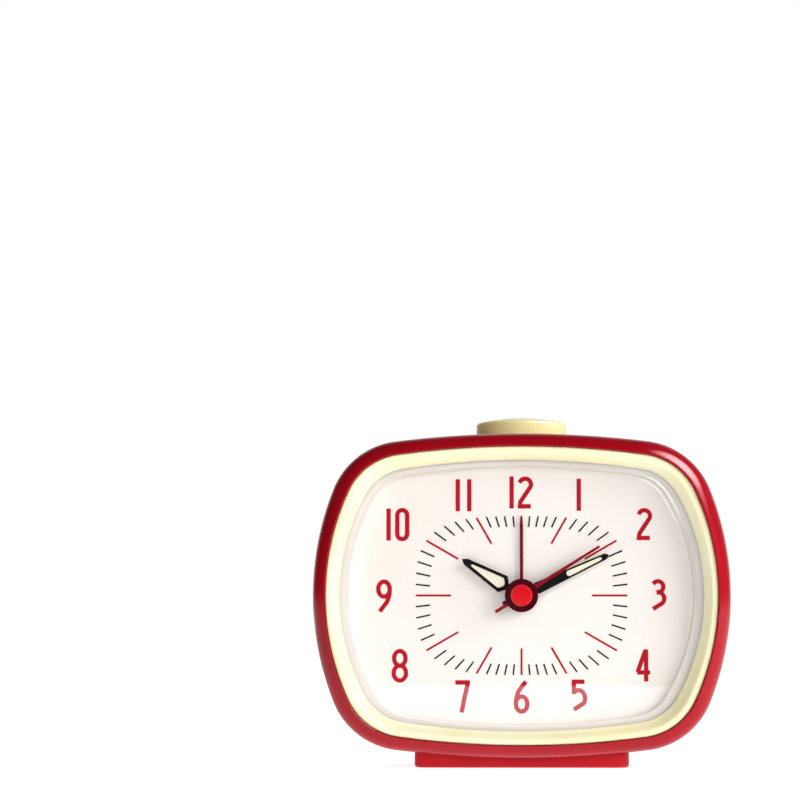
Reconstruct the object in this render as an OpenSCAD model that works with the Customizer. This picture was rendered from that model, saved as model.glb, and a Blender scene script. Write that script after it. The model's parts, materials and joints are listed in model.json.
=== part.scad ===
/* [Case] */
// Width of the case across its widest point
case_w = 105; // [98:1:116]
// Height of the case without its foot and button
case_h = 81.5; // [78:0.5:92]
// Radius of the case's rounded corners
corner_r = 19.4; // [17:0.2:23]
// How far each side bulges past its corners
side_bulge = 12.6; // [10:0.2:15]
// How far the top and the bottom bulge past their corners
top_bulge = 5.35; // [4:0.05:7]
// Depth of the front case from the crown of its rim to the seam
front_depth = 35; // [34.5:0.5:42]
// Depth of the rear cover behind the seam
cover_depth = 14; // [13:0.5:18]
// Thickness of the case walls
wall = 2.2; // [1.8:0.1:2.8]
// How far the case narrows on each side from its widest point to the seam
side_draft = 1.6; // [0.6:0.1:2.4]
// Width of the red rim around the bezel
rim_w = 3.2; // [2.8:0.1:4]
// Slope of the rim at its crown, in degrees, before it rounds over into the side
rim_lean = 22; // [14:1:30]
// Width of the rounded edge between the rim's crown and the bezel
rim_edge = 0.25; // [0.15:0.05:0.4]
// How far in the back edge of the rear cover rounds over
cover_round = 8.5; // [6:0.5:10]
// Thickness of the ledge that the dial rests on
ledge = 2; // [1.5:0.1:3]

/* [Foot] */
// Width of the foot
foot_w = 54; // [46:1:62]
// Depth of the foot from front to back
foot_len = 34; // [30:1:38]
// Height of the foot below the lowest point of the case
foot_h = 2.5; // [2.2:0.1:5]
// Distance of the foot behind the crown of the rim
foot_setback = 6; // [4:0.5:9]
// Radius of the foot's upright corners
foot_corner = 3; // [1.5:0.1:5]
// Distance of each foot screw from the middle
foot_screw_x = 18; // [14:0.5:20]

/* [Face] */
// How far the bezel's crown lies behind the crown of the rim
bezel_recess = 0.8; // [0.4:0.1:1.4]
// Width of the cream bezel seen from the front
bezel_w = 3.5; // [3:0.1:4.2]
// Height of the bezel from its crown to its back
bezel_h = 3.6; // [3:0.1:4.4]
// Thickness of the lens
lens_th = 1.4; // [1:0.1:1.8]
// Width of the rounded shoulder of the lens
lens_shoulder = 2.3; // [1.6:0.1:3]
// How much narrower the shoulder of the lens is at the top and the bottom
lens_lift = 1; // [0:0.1:1.4]
// How far the front of the lens stands above its flange
lens_rise = 2; // [1.4:0.1:2.6]
// Height of the spacer ring between lens and dial
spacer_h = 2.7; // [2.6:0.1:4]
// Thickness of the dial plate
dial_th = 1.6; // [1.2:0.1:2.4]
// Thickness of the printed marks
print_th = 0.08; // [0.05:0.01:0.15]

/* [Dial print] */
// Half the width of the minute track
track_x = 26.7; // [24:0.1:28]
// Half the height of the minute track
track_z = 20; // [18:0.1:21]
// Squareness of the track, where 2 is an ellipse
track_power = 3.3; // [2:0.1:4]
// Inner end of a minute mark as a share of the track
minute_mark_in = 0.865; // [0.8:0.005:0.92]
// Inner end of an hour mark as a share of the track
hour_mark_in = 0.665; // [0.55:0.005:0.75]
// Width of the minute marks
minute_mark_w = 0.4; // [0.3:0.05:0.6]
// Width of the hour marks
hour_mark_w = 0.5; // [0.35:0.05:0.8]
// Height of the numerals
numeral_h = 8.1; // [7:0.1:8.6]
// Width of a single numeral
numeral_w = 4; // [3.5:0.1:4.6]
// Width of the numerals' strokes
numeral_stroke = 1.1; // [0.8:0.05:1.2]

/* [Hands] */
// Length of the hour hand from the centre
hour_len = 17.5; // [15:0.1:19]
// Greatest width of the hour hand
hour_w = 4.7; // [3.4:0.1:5]
// Length of the minute hand from the centre
minute_len = 24.2; // [21:0.1:25.5]
// Width of the minute hand at its root
minute_w = 3.3; // [2.6:0.1:3.8]
// Length of the second hand from the centre
second_len = 23.2; // [20:0.1:25.5]
// Length of the second hand's tail
second_tail = 7.8; // [5:0.1:10]
// Length of the alarm hand from the centre
alarm_len = 20.1; // [16:0.1:22]
// Width of the alarm hand
alarm_w = 0.85; // [0.5:0.05:1.2]
// Thickness of the hands
hand_th = 0.3; // [0.2:0.05:0.4]
// Distance between one hand and the next
hand_gap = 0.5; // [0.4:0.05:0.55]
// Radius of the dark disc at the root of the second hand
disc_r = 4.2; // [3.4:0.1:5]
// Radius of the red cap
cap_r = 2.75; // [2:0.05:3.3]
// Clockwise angle of the hour hand from 12
hour_angle = 301.3; // [0:0.1:360]
// Clockwise angle of the minute hand from 12
minute_angle = 65; // [0:0.1:360]
// Clockwise angle of the second hand from 12
second_angle = 57.8; // [0:0.1:360]
// Clockwise angle of the alarm hand from 12
alarm_angle = 0; // [0:0.1:360]

/* [Movement] */
// Width of the movement's housing
movement_w = 52; // [51:0.5:54]
// Height of the housing above the hands' axis
movement_up = 21; // [19.5:0.5:24]
// Height of the housing below the hands' axis
movement_down = 25; // [25:0.5:27]
// Thickness of the housing's front and back plates
plate_th = 1.5; // [1.2:0.1:1.8]
// Thickness of the housing's side walls
housing_wall = 1.2; // [1:0.1:1.6]
// Thickness of a wheel
wheel_th = 0.8; // [0.6:0.05:0.9]
// Distance from one wheel's level to the next
level_step = 1.75; // [1.65:0.05:1.85]
// Tooth modules across the housing's width, for the wheels that turn and set the hands
motion_pitch = 208; // [206:1:216]
// Tooth modules across the housing's width, for the wheels that the stepping rotor drives
step_pitch = 260; // [250:1:270]
// Side play between meshing teeth
backlash = 0.12; // [0.1:0.01:0.14]
// Radius of the second hand's arbor
arbor_r = 0.5; // [0.4:0.02:0.54]
// Thickness of the walls of the hand pipes
pipe_wall = 0.5; // [0.4:0.02:0.55]
// Radius of the rotor's magnet
magnet_r = 1.4; // [1.1:0.05:1.6]
// Radius of the setting shafts
shaft_r = 1.25; // [1:0.05:1.5]
// Radius of the coil's winding
coil_r = 3; // [2.4:0.1:3.2]
// Length of the coil's winding
coil_l = 17; // [12:0.5:18]

/* [Back] */
// Radius of the two setting knobs
knob_r = 5.5; // [4.5:0.1:6.5]
// Height of the setting knobs
knob_h = 5; // [4:0.1:7]
// Diameter of the battery
battery_d = 14.2; // [13.5:0.1:14.5]
// Length of the battery with its terminal
battery_l = 50.5; // [48:0.5:51]
// Height of the battery's axis below the hands' axis
battery_drop = 19.5; // [19:0.1:20]
// Thickness of the battery bay's walls
bay_wall = 1.5; // [1.2:0.1:1.8]
// Thickness of the battery door
door_th = 1.4; // [1.2:0.1:1.8]
// Radius of the buzzer
buzzer_r = 9.5; // [8:0.1:10]
// Height of the buzzer
buzzer_h = 3.4; // [2.5:0.1:5]
// Distance of each cover screw from the middle, sideways
cover_screw_x = 35.5; // [35:0.1:36.5]
// Distance of each cover screw above or below the middle
cover_screw_z = 16; // [14:0.5:17]
// Distance of the alarm switch from the middle
switch_x = 29; // [27:0.5:30]
// Height of the alarm switch above the hands' axis at rest
switch_up = 2; // [-1:0.5:3]
// Travel of the alarm switch
switch_travel = 4; // [3:0.1:5]

/* [Snooze button] */
// Width of the button
button_w = 23; // [20:0.5:26]
// Depth of the button from front to back
button_len = 17; // [14:0.5:17.5]
// Height of the button's crown above the top of the case
button_rise = 4.7; // [4:0.1:7]
// How much lower the ends of the button are than its crown
button_dome = 1.5; // [0.8:0.1:2.4]
// Travel of the button
button_travel = 1.2; // [0.8:0.1:1.4]
// Distance of the button's middle behind the crown of the rim
button_depth = 23; // [22.5:0.5:23.5]
// Radius of the button's return spring
spring_r = 5.2; // [5.1:0.1:5.8]
// Thickness of the spring wire
spring_wire = 0.5; // [0.4:0.05:0.6]
// Number of turns of the return spring
spring_turns = 5; // [4:1:6]

/* [Fits] */
// Clearance around a turning shaft
running_fit = 0.05; // [0.03:0.01:0.08]
// Clearance where pieces are pressed or set together
seat_fit = 0.02; // [0.01:0.01:0.04]
// Clearance around the pieces of the face in the case
face_fit = 0.1; // [0.05:0.01:0.15]
// Clearance around pieces that slide or lift out
slide_fit = 0.3; // [0.2:0.05:0.4]

/* [Hidden] */
$fn = 64;

// Steps along each stretch of a quarter of the case's outline
side_steps = 5;
corner_steps = 7;
top_steps = 4;
round_steps = 5;
rim_steps = 8;
oval_steps = 32;

// Depths, measured back from the crown of the rim
total_depth = front_depth + cover_depth;
bezel_back = bezel_recess + bezel_h;
lens_front = bezel_back - lens_rise;
lens_back = bezel_back + lens_th;
dial_front = lens_back + spacer_h;
dial_back = dial_front + dial_th;
ledge_back = dial_back + ledge;
print_front = dial_front - print_th;

// Insets from the case's widest outline
face_edge = rim_w + face_fit;
bezel_inner = rim_w + bezel_w;
lens_edge = bezel_inner + face_fit;
lens_flat = lens_edge + lens_shoulder;
spacer_inner = lens_flat;
ledge_inset = spacer_inner;

// Height of the hands' axis and of the case above the table
axis_h = foot_h + case_h / 2;
case_top = axis_h + case_h / 2;
foot_mid = foot_setback + foot_len / 2;

// Levels of the wheels inside the housing, from the front
housing_front = dial_back;
housing_inner = housing_front + plate_th;
level_room = 0.45;
level_count = 8;
split_level = 4.7;
first_level = housing_inner + level_room;
housing_inner_back = first_level + level_count * level_step + level_room;
housing_back = housing_inner_back + plate_th;
housing_split = first_level + split_level * level_step;

// Teeth of each wheel and pinion
alarm_teeth = 48;
alarm_set_teeth = 72;
hour_teeth = 48;
minute_pinion_teeth = 12;
minute_teeth = 45;
cannon_teeth = 15;
time_set_teeth = 15;
centre_teeth = 60;
third_pinion_teeth = 8;
third_teeth = 64;
second_pinion_teeth = 8;
second_teeth = 60;
idler_pinion_teeth = 10;
idler_teeth = 40;
rotor_teeth = 8;
pressure_angle = 25;
wheel_addendum = 0.7;
pinion_addendum = 0.9;
tip_room = 0.25;

// The wheels grow with the housing
motion_module = movement_w / motion_pitch;
step_module = movement_w / step_pitch;

// Distances between arbors, and the module that the centre wheel needs to fit between them
motion_distance = (cannon_teeth + minute_teeth) * motion_module / 2;
time_set_distance = (minute_teeth + time_set_teeth) * motion_module / 2;
alarm_distance = (alarm_teeth + alarm_set_teeth) * motion_module / 2;
third_distance = (third_teeth + second_pinion_teeth) * motion_module / 2;
centre_module = 2 * third_distance / (centre_teeth + third_pinion_teeth);
idler_distance = (second_teeth + idler_pinion_teeth) * step_module / 2;
rotor_distance = (idler_teeth + rotor_teeth) * step_module / 2;

// Arbors seen from the front, with the hands' axis at the middle
minute_at = [-motion_distance, 0];
time_at = [-motion_distance - time_set_distance, 0];
alarm_at = [alarm_distance, 0];
third_at = [0, third_distance];
idler_at = [0, -idler_distance];
rotor_at = [0, -idler_distance - rotor_distance];
coil_drop = 7.4;
coil_at = [0, rotor_at[1] - coil_drop];

// Radii of the pipes on the hands' axis, each running in the next
cannon_bore = arbor_r + running_fit;
cannon_r = cannon_bore + pipe_wall;
hour_bore = cannon_r + running_fit;
hour_pipe_r = hour_bore + pipe_wall;
alarm_bore = hour_pipe_r + running_fit;
alarm_pipe_r = alarm_bore + pipe_wall;
pivot_r = 0.35;
stud_r = 0.6;
idler_stud_r = 0.4;
rotor_stud_r = 0.28;

// Depths of the hands, from the dial forwards
hand_lift = 0.6;
alarm_hand_back = dial_front - hand_lift;
hour_hand_back = alarm_hand_back - hand_th - hand_gap;
minute_hand_back = hour_hand_back - hand_th - hand_gap;
second_hand_back = minute_hand_back - hand_th - hand_gap;
cap_back = second_hand_back - hand_th;
cap_h = 0.7;
lume_th = hand_th / 2;
frame_w = 0.75;

// The battery's bay, open at the back
spring_space = 6;
contact_space = 2.6;
contact_th = 0.4;
bay_l = battery_l + spring_space + contact_space;
bay_side = 0.8;
bay_h = battery_d + 2 * bay_side;
door_room = 0.7;
battery_t = total_depth - door_th - door_room - battery_d / 2;
bay_floor = battery_t - battery_d / 2 - slide_fit;
battery_x = (spring_space - contact_space) / 2;
door_lip = 1.4;
door_front = total_depth - door_th;
door_grip = 0.5;

// The button, its guide and its shelf
button_y = button_depth - foot_mid;
button_flange = 1.4;
flange_th = 1.2;
flange_drop = 0.5;
flange_top = case_top - side_draft - wall - flange_drop;
flange_bottom = flange_top - flange_th;
shelf_th = 1.5;
board_th = 1.2;
switch_h = 3.5;
plunger_h = 1;
stem_h = 3.15;
stem_gap = 0.25;
stem_r = 1.8;
spring_len = switch_h + plunger_h + stem_gap + button_travel + stem_h;
board_top = flange_bottom - spring_len;
shelf_top = board_top - board_th;
shelf_w = button_w + 10;
shelf_len = button_len + 2;

// The tongue that sets the rear cover in the front case, and the ribs of the screw bosses
tongue_l = 2;
tongue_th = 1.4;
rib_th = 2;
rib_steps = 3;

// Screws
screw_r = 1.25;
head_r = 2.6;
head_h = 1.5;
boss_r = 3.5;
pillar_r = 3.9;
cover_screw_seat = front_depth + 4;
cover_screw_l = 14;
foot_screw_l = 6.4;
ear_w = 7;
ear_t = 1.6;
ear_lift = 2.5;
ear_front = dial_back + ear_lift;
ear_at = [(movement_w + ear_w) / 2 - 0.1, 6];
ear_screw_r = 0.9;

// Outline of the case, drawn in by an inset from its widest line; a lift moves its top and bottom back out

function arc(c, r, a0, a1, n) =
  [for (i = [0 : n - 1]) let (a = a0 + (a1 - a0) * i / n) c + r * [cos(a), sin(a)]];

function quarter(inset, lift) =
  let (
    hw = case_w / 2 - inset,
    hh = case_h / 2 - inset + lift,
    rc = max(corner_r - inset, 3),
    rs = (hh * hh + side_bulge * side_bulge) / (2 * side_bulge),
    rt = (hw * hw + top_bulge * top_bulge) / (2 * top_bulge),
    cs = [hw - rs, 0],
    ct = [0, hh - rt],
    span = norm(ct - cs),
    dir = (ct - cs) / span,
    along = ((rs - rc) * (rs - rc) - (rt - rc) * (rt - rc) + span * span) / (2 * span),
    across = sqrt((rs - rc) * (rs - rc) - along * along),
    c = cs + along * dir + across * [-dir[1], dir[0]],
    a_side = atan2(c[1] - cs[1], c[0] - cs[0]),
    a_top = atan2(c[1] - ct[1], c[0] - ct[0])
  )
  concat(
    arc(cs, rs, 0, a_side, side_steps),
    arc(c, rc, a_side, a_top, corner_steps),
    arc(ct, rt, a_top, 90, top_steps),
    [[0, hh]]
  );

function ring(inset, lift = 0) =
  let (q = quarter(inset, lift), n = len(q) - 1)
  concat(
    [for (i = [0 : n - 1]) q[i]],
    [for (i = [0 : n - 1]) [-q[n - i][0], q[n - i][1]]],
    [for (i = [0 : n - 1]) -q[i]],
    [for (i = [0 : n - 1]) [q[n - i][0], -q[n - i][1]]]
  );

// A ring of the case's outline at each [inset, depth] or [inset, depth, lift] of a profile
function case_rings(profile) =
  [for (p = profile) [for (q = ring(p[0], len(p) > 2 ? p[2] : 0)) [q[0], q[1], -p[1]]]];

function rounded(w, h, r) =
  let (x = w / 2 - r, y = h / 2 - r, n = round_steps)
  [for (k = [[x, y, 0], [-x, y, 90], [-x, -y, 180], [x, -y, 270]])
    for (i = [0 : n]) [k[0], k[1]] + r * [cos(k[2] + 90 * i / n), sin(k[2] + 90 * i / n)]];

function oval(w, l) =
  [for (i = [0 : oval_steps - 1]) let (a = 360 * i / oval_steps) [w * cos(a), l * sin(a)] / 2];

function quads(k0, k1, n) =
  [for (i = [0 : n - 1]) let (j = (i + 1) % n)
    each [[k0 * n + i, k1 * n + j, k1 * n + i], [k0 * n + i, k0 * n + j, k1 * n + j]]];

// Skin over rings: a hoop joins its last ring to its first, and a plug is closed at both ends
module hoop(rings) {
  m = len(rings);
  n = len(rings[0]);
  polyhedron([for (r = rings) each r], [for (k = [0 : m - 1]) each quads(k, (k + 1) % m, n)]);
}

module plug(rings) {
  m = len(rings);
  n = len(rings[0]);
  ends = [[for (i = [n - 1 : -1 : 0]) i], [for (i = [0 : n - 1]) (m - 1) * n + i]];
  polyhedron([for (r = rings) each r], concat([for (k = [0 : m - 2]) each quads(k, k + 1, n)], ends));
}

// Places what is drawn as seen from the front, with depth along -Z, on the hands' axis
module face() translate([0, -foot_mid, axis_h]) rotate([90, 0, 0]) children();

module slab(front, back) translate([0, 0, -back]) linear_extrude(back - front) children();

module post(at, r, front, back) translate([at[0], at[1], -back]) cylinder(r = r, h = back - front);

// The rim rises from the bezel's edge to a crown, then rounds over into the side on one radius
rim_r = (rim_w - rim_edge) / (1 - sin(rim_lean));
rim_round = rim_r * cos(rim_lean);

rim_profile = concat(
  [[rim_w, rim_edge], [rim_w - 0.3 * rim_edge, 0.3 * rim_edge]],
  [for (i = [0 : rim_steps]) let (a = rim_lean + (90 - rim_lean) * i / rim_steps)
    rim_r * [1 - sin(a), cos(rim_lean) - cos(a)]]
);

// Insets of the case's outside along its depth
function draft(t) =
  side_draft * pow(max(t - rim_round, 0) / (front_depth - rim_round), 2);

side_profile = [for (i = [1 : 3]) let (t = rim_round + (front_depth - rim_round) * i / 3) [draft(t), t]];

function cover_round_profile(start, reach, top) =
  [for (i = [0 : round_steps]) let (a = 90 * i / round_steps)
    [start + reach * (1 - cos(a)), top - reach * (1 - sin(a))]];

cover_profile = cover_round_profile(side_draft, cover_round, total_depth);

module envelope(grow)
  plug(case_rings([for (p = concat(rim_profile, side_profile, cover_profile)) [p[0] - grow, p[1]]]));

// The case

module button_hole(grow)
  translate([0, button_y, axis_h])
    linear_extrude(case_h)
      polygon(oval(button_w + 2 * grow, button_len + 2 * grow));

module cover_screw_places()
  for (sx = [-1, 1], sz = [-1, 1])
    translate([sx * cover_screw_x, sz * cover_screw_z, 0])
      children();

// Distance of the case's outline from the middle at a height, on its rounded side
function side_x(inset, up) =
  let (q = case_h / 2 - inset, r = (q * q + side_bulge * side_bulge) / (2 * side_bulge))
  case_w / 2 - inset - r + sqrt(r * r - up * up);

// Ribs that tie each screw boss to the side wall, stepped to follow the wall's draft
module boss_ribs() {
  front = ledge_back - ledge / 2;
  step = (front_depth - tongue_l - slide_fit - front) / rib_steps;
  for (sx = [-1, 1], sz = [-1, 1], i = [0 : rib_steps - 1]) {
    t = front + i * step;
    reach = side_x((draft(t) + draft(t + step) + wall) / 2, cover_screw_z) - cover_screw_x;
    slab(t, t + step)
      translate([sx * (cover_screw_x + reach / 2), sz * cover_screw_z])
        square([reach, rib_th], center = true);
  }
}

module foot_screw_places()
  for (sx = [-1, 1])
    translate([sx * foot_screw_x, 0, 0])
      children();

module button_shelf() {
  leg_top = case_top - side_draft - wall / 2;
  leg_x = shelf_w / 2 - shelf_th;
  translate([-shelf_w / 2, button_y - shelf_len / 2, shelf_top - shelf_th])
    cube([shelf_w, shelf_len, shelf_th]);
  for (sx = [-1, 1])
    translate([sx * (leg_x + shelf_th / 2) - shelf_th / 2, button_y - shelf_len / 2, shelf_top - shelf_th])
      cube([shelf_th, shelf_len, leg_top - shelf_top + shelf_th]);
}

module front_case() {
  inner_profile = [for (i = [3 : -1 : 1]) side_profile[i - 1] + [wall, 0]];
  profile = concat(
    rim_profile,
    side_profile,
    [inner_profile[0], inner_profile[1]],
    [[wall + draft(ledge_back), ledge_back], [ledge_inset, ledge_back]],
    [[ledge_inset, dial_back], [rim_w, dial_back]]
  );
  foot_boss_h = 5;
  boss_floor = foot_h + wall / 2;
  color("firebrick")
    difference() {
      union() {
        face() hoop(case_rings(profile));
        face() cover_screw_places() post([0, 0], boss_r, ledge_back - ledge / 2, front_depth);
        face() boss_ribs();
        button_shelf();
        foot_screw_places()
          translate([0, 0, boss_floor + draft(foot_mid)])
            cylinder(r = boss_r, h = foot_boss_h);
      }
      button_hole(slide_fit);
      face() cover_screw_places()
        post([0, 0], screw_r + seat_fit, cover_screw_seat - cover_screw_l - 1, front_depth + 1);
      foot_screw_places() cylinder(r = screw_r + seat_fit, h = boss_floor + foot_boss_h + 2);
    }
}

module knob_places()
  for (at = [time_at, alarm_at])
    translate([at[0], at[1], 0])
      children();

module bay_box(margin, front, back)
  translate([0, -battery_drop, 0])
    slab(front, back)
      square([bay_l + 2 * margin, bay_h + 2 * margin], center = true);

buzzer_at = [0, min(18.5, case_h / 2 - side_draft - cover_round - wall - buzzer_r)];
switch_w = 3;
switch_stem = 4;
switch_slot = switch_stem + switch_travel + 2 * slide_fit;
switch_mid = switch_up + switch_travel / 2;
switch_cap_h = 1.6;
switch_body_h = 5;
switch_body_w = 7;
switch_end = 1.5;
cover_floor = total_depth - wall;

module rear_cover() {
  tongue_inset = side_draft + wall + face_fit;
  inner_start = tongue_inset + tongue_th;
  inner_reach = cover_round - wall;
  inner_profile = cover_round_profile(inner_start, inner_reach, cover_floor);
  profile = concat(
    [for (i = [round_steps : -1 : 0]) cover_profile[i]],
    [[side_draft, front_depth], [tongue_inset, front_depth]],
    [[tongue_inset, front_depth - tongue_l], [inner_start, front_depth - tongue_l]],
    inner_profile
  );
  slot_gap = 3;
  color("firebrick")
    difference() {
      union() {
        face() plug(case_rings([for (i = [len(profile) - 1 : -1 : 0]) profile[i]]));
        face() cover_screw_places() post([0, 0], pillar_r, front_depth, cover_floor + wall / 2);
        face() bay_box(bay_wall, bay_floor - bay_wall, cover_floor + wall / 2);
      }
      face() {
        bay_box(0, bay_floor, total_depth + 1);
        bay_box(door_lip, door_front - 0.1, total_depth + 1);
        cover_screw_places() {
          post([0, 0], screw_r + slide_fit, front_depth - 1, total_depth);
          post([0, 0], head_r + slide_fit, cover_screw_seat, total_depth + 1);
        }
        knob_places() post([0, 0], shaft_r + slide_fit, front_depth, total_depth + 1);
        slab(front_depth, total_depth + 1)
          translate([switch_x, switch_mid])
            square([switch_w + 2 * slide_fit, switch_slot], center = true);
        slab(front_depth, total_depth + 1)
          for (i = [-2 : 2])
            translate([buzzer_at[0], buzzer_at[1] + i * slot_gap])
              square([buzzer_r * 1.1, slot_gap / 2], center = true);
      }
    }
}

module foot() {
  edge = 0.8;
  top = foot_h + case_h / 8;
  steps = [[edge, 0], [edge * 0.3, edge * 0.3], [0, edge], [0, top]];
  color("firebrick")
    difference() {
      plug([for (s = [3 : -1 : 0])
        [for (q = rounded(foot_w - 2 * steps[s][0], foot_len - 2 * steps[s][0], foot_corner))
          [q[0], q[1], steps[s][1]]]]);
      face() envelope(seat_fit);
      foot_screw_places() {
        translate([0, 0, -1]) cylinder(r = head_r + slide_fit, h = 1 + head_h);
        cylinder(r = screw_r + slide_fit, h = top);
      }
    }
}

module screw(l, r, cap_radius, cap_height) {
  slot_w = cap_radius * 0.28;
  difference() {
    union() {
      cylinder(r = r, h = l);
      translate([0, 0, -cap_height]) cylinder(r = cap_radius, h = cap_height);
    }
    for (a = [0, 90])
      rotate(a)
        translate([-slot_w / 2, -cap_radius * 0.62, -cap_height - 1])
          cube([slot_w, cap_radius * 1.24, 1 + cap_height / 2]);
  }
}

module foot_screws()
  color("silver")
    foot_screw_places()
      translate([0, 0, head_h])
        screw(foot_screw_l, screw_r, head_r, head_h - 0.3);

module cover_screws()
  color("silver")
    face() cover_screw_places()
      translate([0, 0, -cover_screw_seat])
        screw(cover_screw_l, screw_r, head_r, head_h);

// The face

// A narrow flat beside the rim, then a slope down to the lens
module bezel() {
  edge = 0.4;
  lip = 0.3;
  color("cornsilk")
    face() hoop(case_rings([
      [bezel_inner, bezel_back], [bezel_inner, bezel_back - lip],
      [bezel_inner - lip / 2, bezel_back - 2 * lip],
      [face_edge + 4 * edge, bezel_recess + edge], [face_edge + 3 * edge, bezel_recess + 0.2 * edge],
      [face_edge + edge, bezel_recess], [face_edge + 0.3 * edge, bezel_recess + 0.3 * edge],
      [face_edge, bezel_recess + edge], [face_edge, bezel_back]
    ]));
}

module lens() {
  function shoulder(start, reach, fall, top) =
    [for (i = [0 : round_steps])
      let (a = 90 * i / round_steps, inset = start + reach * (1 - sin(a)))
      [inset, top + fall * (1 - cos(a)), lens_lift * min(1, (inset - lens_edge) / lens_shoulder)]];
  profile = concat(
    shoulder(lens_edge, lens_shoulder, lens_rise, lens_front),
    [[face_edge, bezel_back], [face_edge, lens_back]],
    shoulder(lens_edge + lens_th, lens_shoulder - 0.2, lens_rise, lens_front + lens_th)
  );
  n = round_steps;
  front = [for (i = [0 : n]) profile[i]];
  back = [for (i = [n : -1 : 0]) profile[n + 3 + i]];
  color("white", 0.3)
    face() plug(case_rings(concat(front, [profile[n + 1], profile[n + 2]], back)));
}

module dial_spacer()
  color("ivory")
    face() hoop(case_rings([
      [face_edge, lens_back], [face_edge, dial_front],
      [spacer_inner, dial_front, lens_lift], [spacer_inner, lens_back, lens_lift]
    ]));

module ear_places()
  for (sx = [-1, 1], sz = [-1, 1])
    translate([sx * ear_at[0], sz * ear_at[1], 0])
      children();

module dial()
  color("ivory")
    face() difference() {
      union() {
        slab(dial_front, dial_back) polygon(ring(face_edge));
        ear_places() post([0, 0], ear_w / 2 - 0.8, dial_back, ear_front);
      }
      post([0, 0], alarm_pipe_r + slide_fit, dial_front - 1, dial_back + 1);
      ear_places() post([0, 0], ear_screw_r + seat_fit, dial_front + 0.4, ear_front + 1);
    }

// Printed marks

function track(a) =
  pow(pow(abs(sin(a)) / track_x, track_power) + pow(abs(cos(a)) / track_z, track_power), -1 / track_power);

module mark(a, inner, w) {
  outer_r = track(a);
  inner_r = inner * outer_r;
  rotate(-a) translate([-w / 2, inner_r]) square([w, outer_r - inner_r]);
}

module hour_marks()
  color("crimson")
    face() slab(print_front, dial_front)
      for (i = [0 : 11]) mark(360 / 12 * i, hour_mark_in, hour_mark_w);

module minute_marks()
  color("darkslategray")
    face() slab(print_front, dial_front)
      for (i = [0 : 59])
        if (i % 5 != 0) mark(6 * i, minute_mark_in, minute_mark_w);

// Numerals are drawn as strokes of one width along lines and arcs

function dirs(p) =
  [for (i = [0 : len(p) - 1])
    let (d = p[min(i + 1, len(p) - 1)] - p[max(i - 1, 0)]) d / norm(d)];

module stroke(p) {
  d = dirs(p);
  half = numeral_stroke / 2;
  polygon(concat(
    [for (i = [0 : len(p) - 1]) p[i] + half * [d[i][1], -d[i][0]]],
    [for (i = [len(p) - 1 : -1 : 0]) p[i] - half * [d[i][1], -d[i][0]]]
  ));
}

function bend(c, rx, ry, a0, a1, n = 10) =
  [for (i = [0 : n]) let (a = a0 + (a1 - a0) * i / n) c + [rx * cos(a), ry * sin(a)]];

module loop(c, rx, ry) {
  half = numeral_stroke / 2;
  difference() {
    polygon([for (i = [0 : 23]) c + [(rx + half) * cos(15 * i), (ry + half) * sin(15 * i)]]);
    polygon([for (i = [0 : 23]) c + [(rx - half) * cos(15 * i), (ry - half) * sin(15 * i)]]);
  }
}

glyph_x = (numeral_w - numeral_stroke) / 2;
glyph_z = (numeral_h - numeral_stroke) / 2;
glyph_end = numeral_h / 2;

module digit_0() {
  side = 0.86 * glyph_x;
  top = 1.05 * glyph_z - side;
  outer = side + numeral_stroke / 2;
  inner = side - numeral_stroke / 2;
  difference() {
    polygon(concat(bend([0, top], outer, outer, 0, 180), bend([0, -top], outer, outer, 180, 360)));
    polygon(concat(bend([0, top], inner, inner, 0, 180), bend([0, -top], inner, inner, 180, 360)));
  }
}

module digit_1() stroke([[0, -glyph_end], [0, glyph_end]]);

module digit_2() {
  bowl = [0, glyph_z - glyph_x];
  stroke(concat(
    bend(bowl, glyph_x, glyph_x, 165, -28),
    [[-0.25 * glyph_x, -0.3 * glyph_z], [-0.85 * glyph_x, -0.68 * glyph_z], [-glyph_x, -glyph_end]]
  ));
  stroke([[-glyph_x, -glyph_z], [glyph_x * 0.95, -glyph_z]]);
}

module digit_3() {
  upper = 0.4 * glyph_z;
  stroke(concat(
    bend([-0.15 * glyph_x, glyph_z - upper], 0.95 * glyph_x, upper, 150, -75),
    [[-0.35 * glyph_x, 0.17 * glyph_z]]
  ));
  stroke(concat(
    bend([-0.2 * glyph_x, -0.26 * glyph_z], 1.15 * glyph_x, 0.47 * glyph_z, 100, -38),
    [[-glyph_x, -glyph_z]]
  ));
}

module digit_4() {
  bar = -0.5 * glyph_z;
  stem = 0.45 * glyph_x;
  stroke([[stem, -glyph_end], [stem, glyph_end]]);
  stroke([[-1.1 * glyph_x, bar], [1.15 * glyph_x, bar]]);
  stroke([[stem - 0.1, glyph_end - 0.1], [-1.05 * glyph_x, bar]]);
}

module digit_5() {
  stroke([[-glyph_x - numeral_stroke / 2, glyph_z], [0.85 * glyph_x, glyph_z]]);
  stroke([[-glyph_x, glyph_z], [-glyph_x, 0.12 * glyph_z]]);
  stroke(concat(
    [[-glyph_x, 0.22 * glyph_z]],
    bend([-0.25 * glyph_x, -0.2 * glyph_z], 1.2 * glyph_x, 0.6 * glyph_z, 105, -35),
    [[-glyph_x, -glyph_z]]
  ));
}

module digit_6() {
  bowl = 0.54 * glyph_z;
  loop([0, bowl - glyph_z], glyph_x, bowl);
  stroke(concat(
    bend([0.75 * glyph_x, bowl - glyph_z], 1.75 * glyph_x, 1.32 * glyph_z, 180, 118),
    [[0.72 * glyph_x, glyph_end]]
  ));
}

module digit_7() {
  stroke([[-glyph_x - numeral_stroke / 2, glyph_z], [glyph_x + 0.25, glyph_z]]);
  stroke([[glyph_x * 0.85, glyph_end - 0.3], [0.15 * glyph_x, -0.2 * glyph_z], [-0.3 * glyph_x, -glyph_end]]);
}

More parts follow.
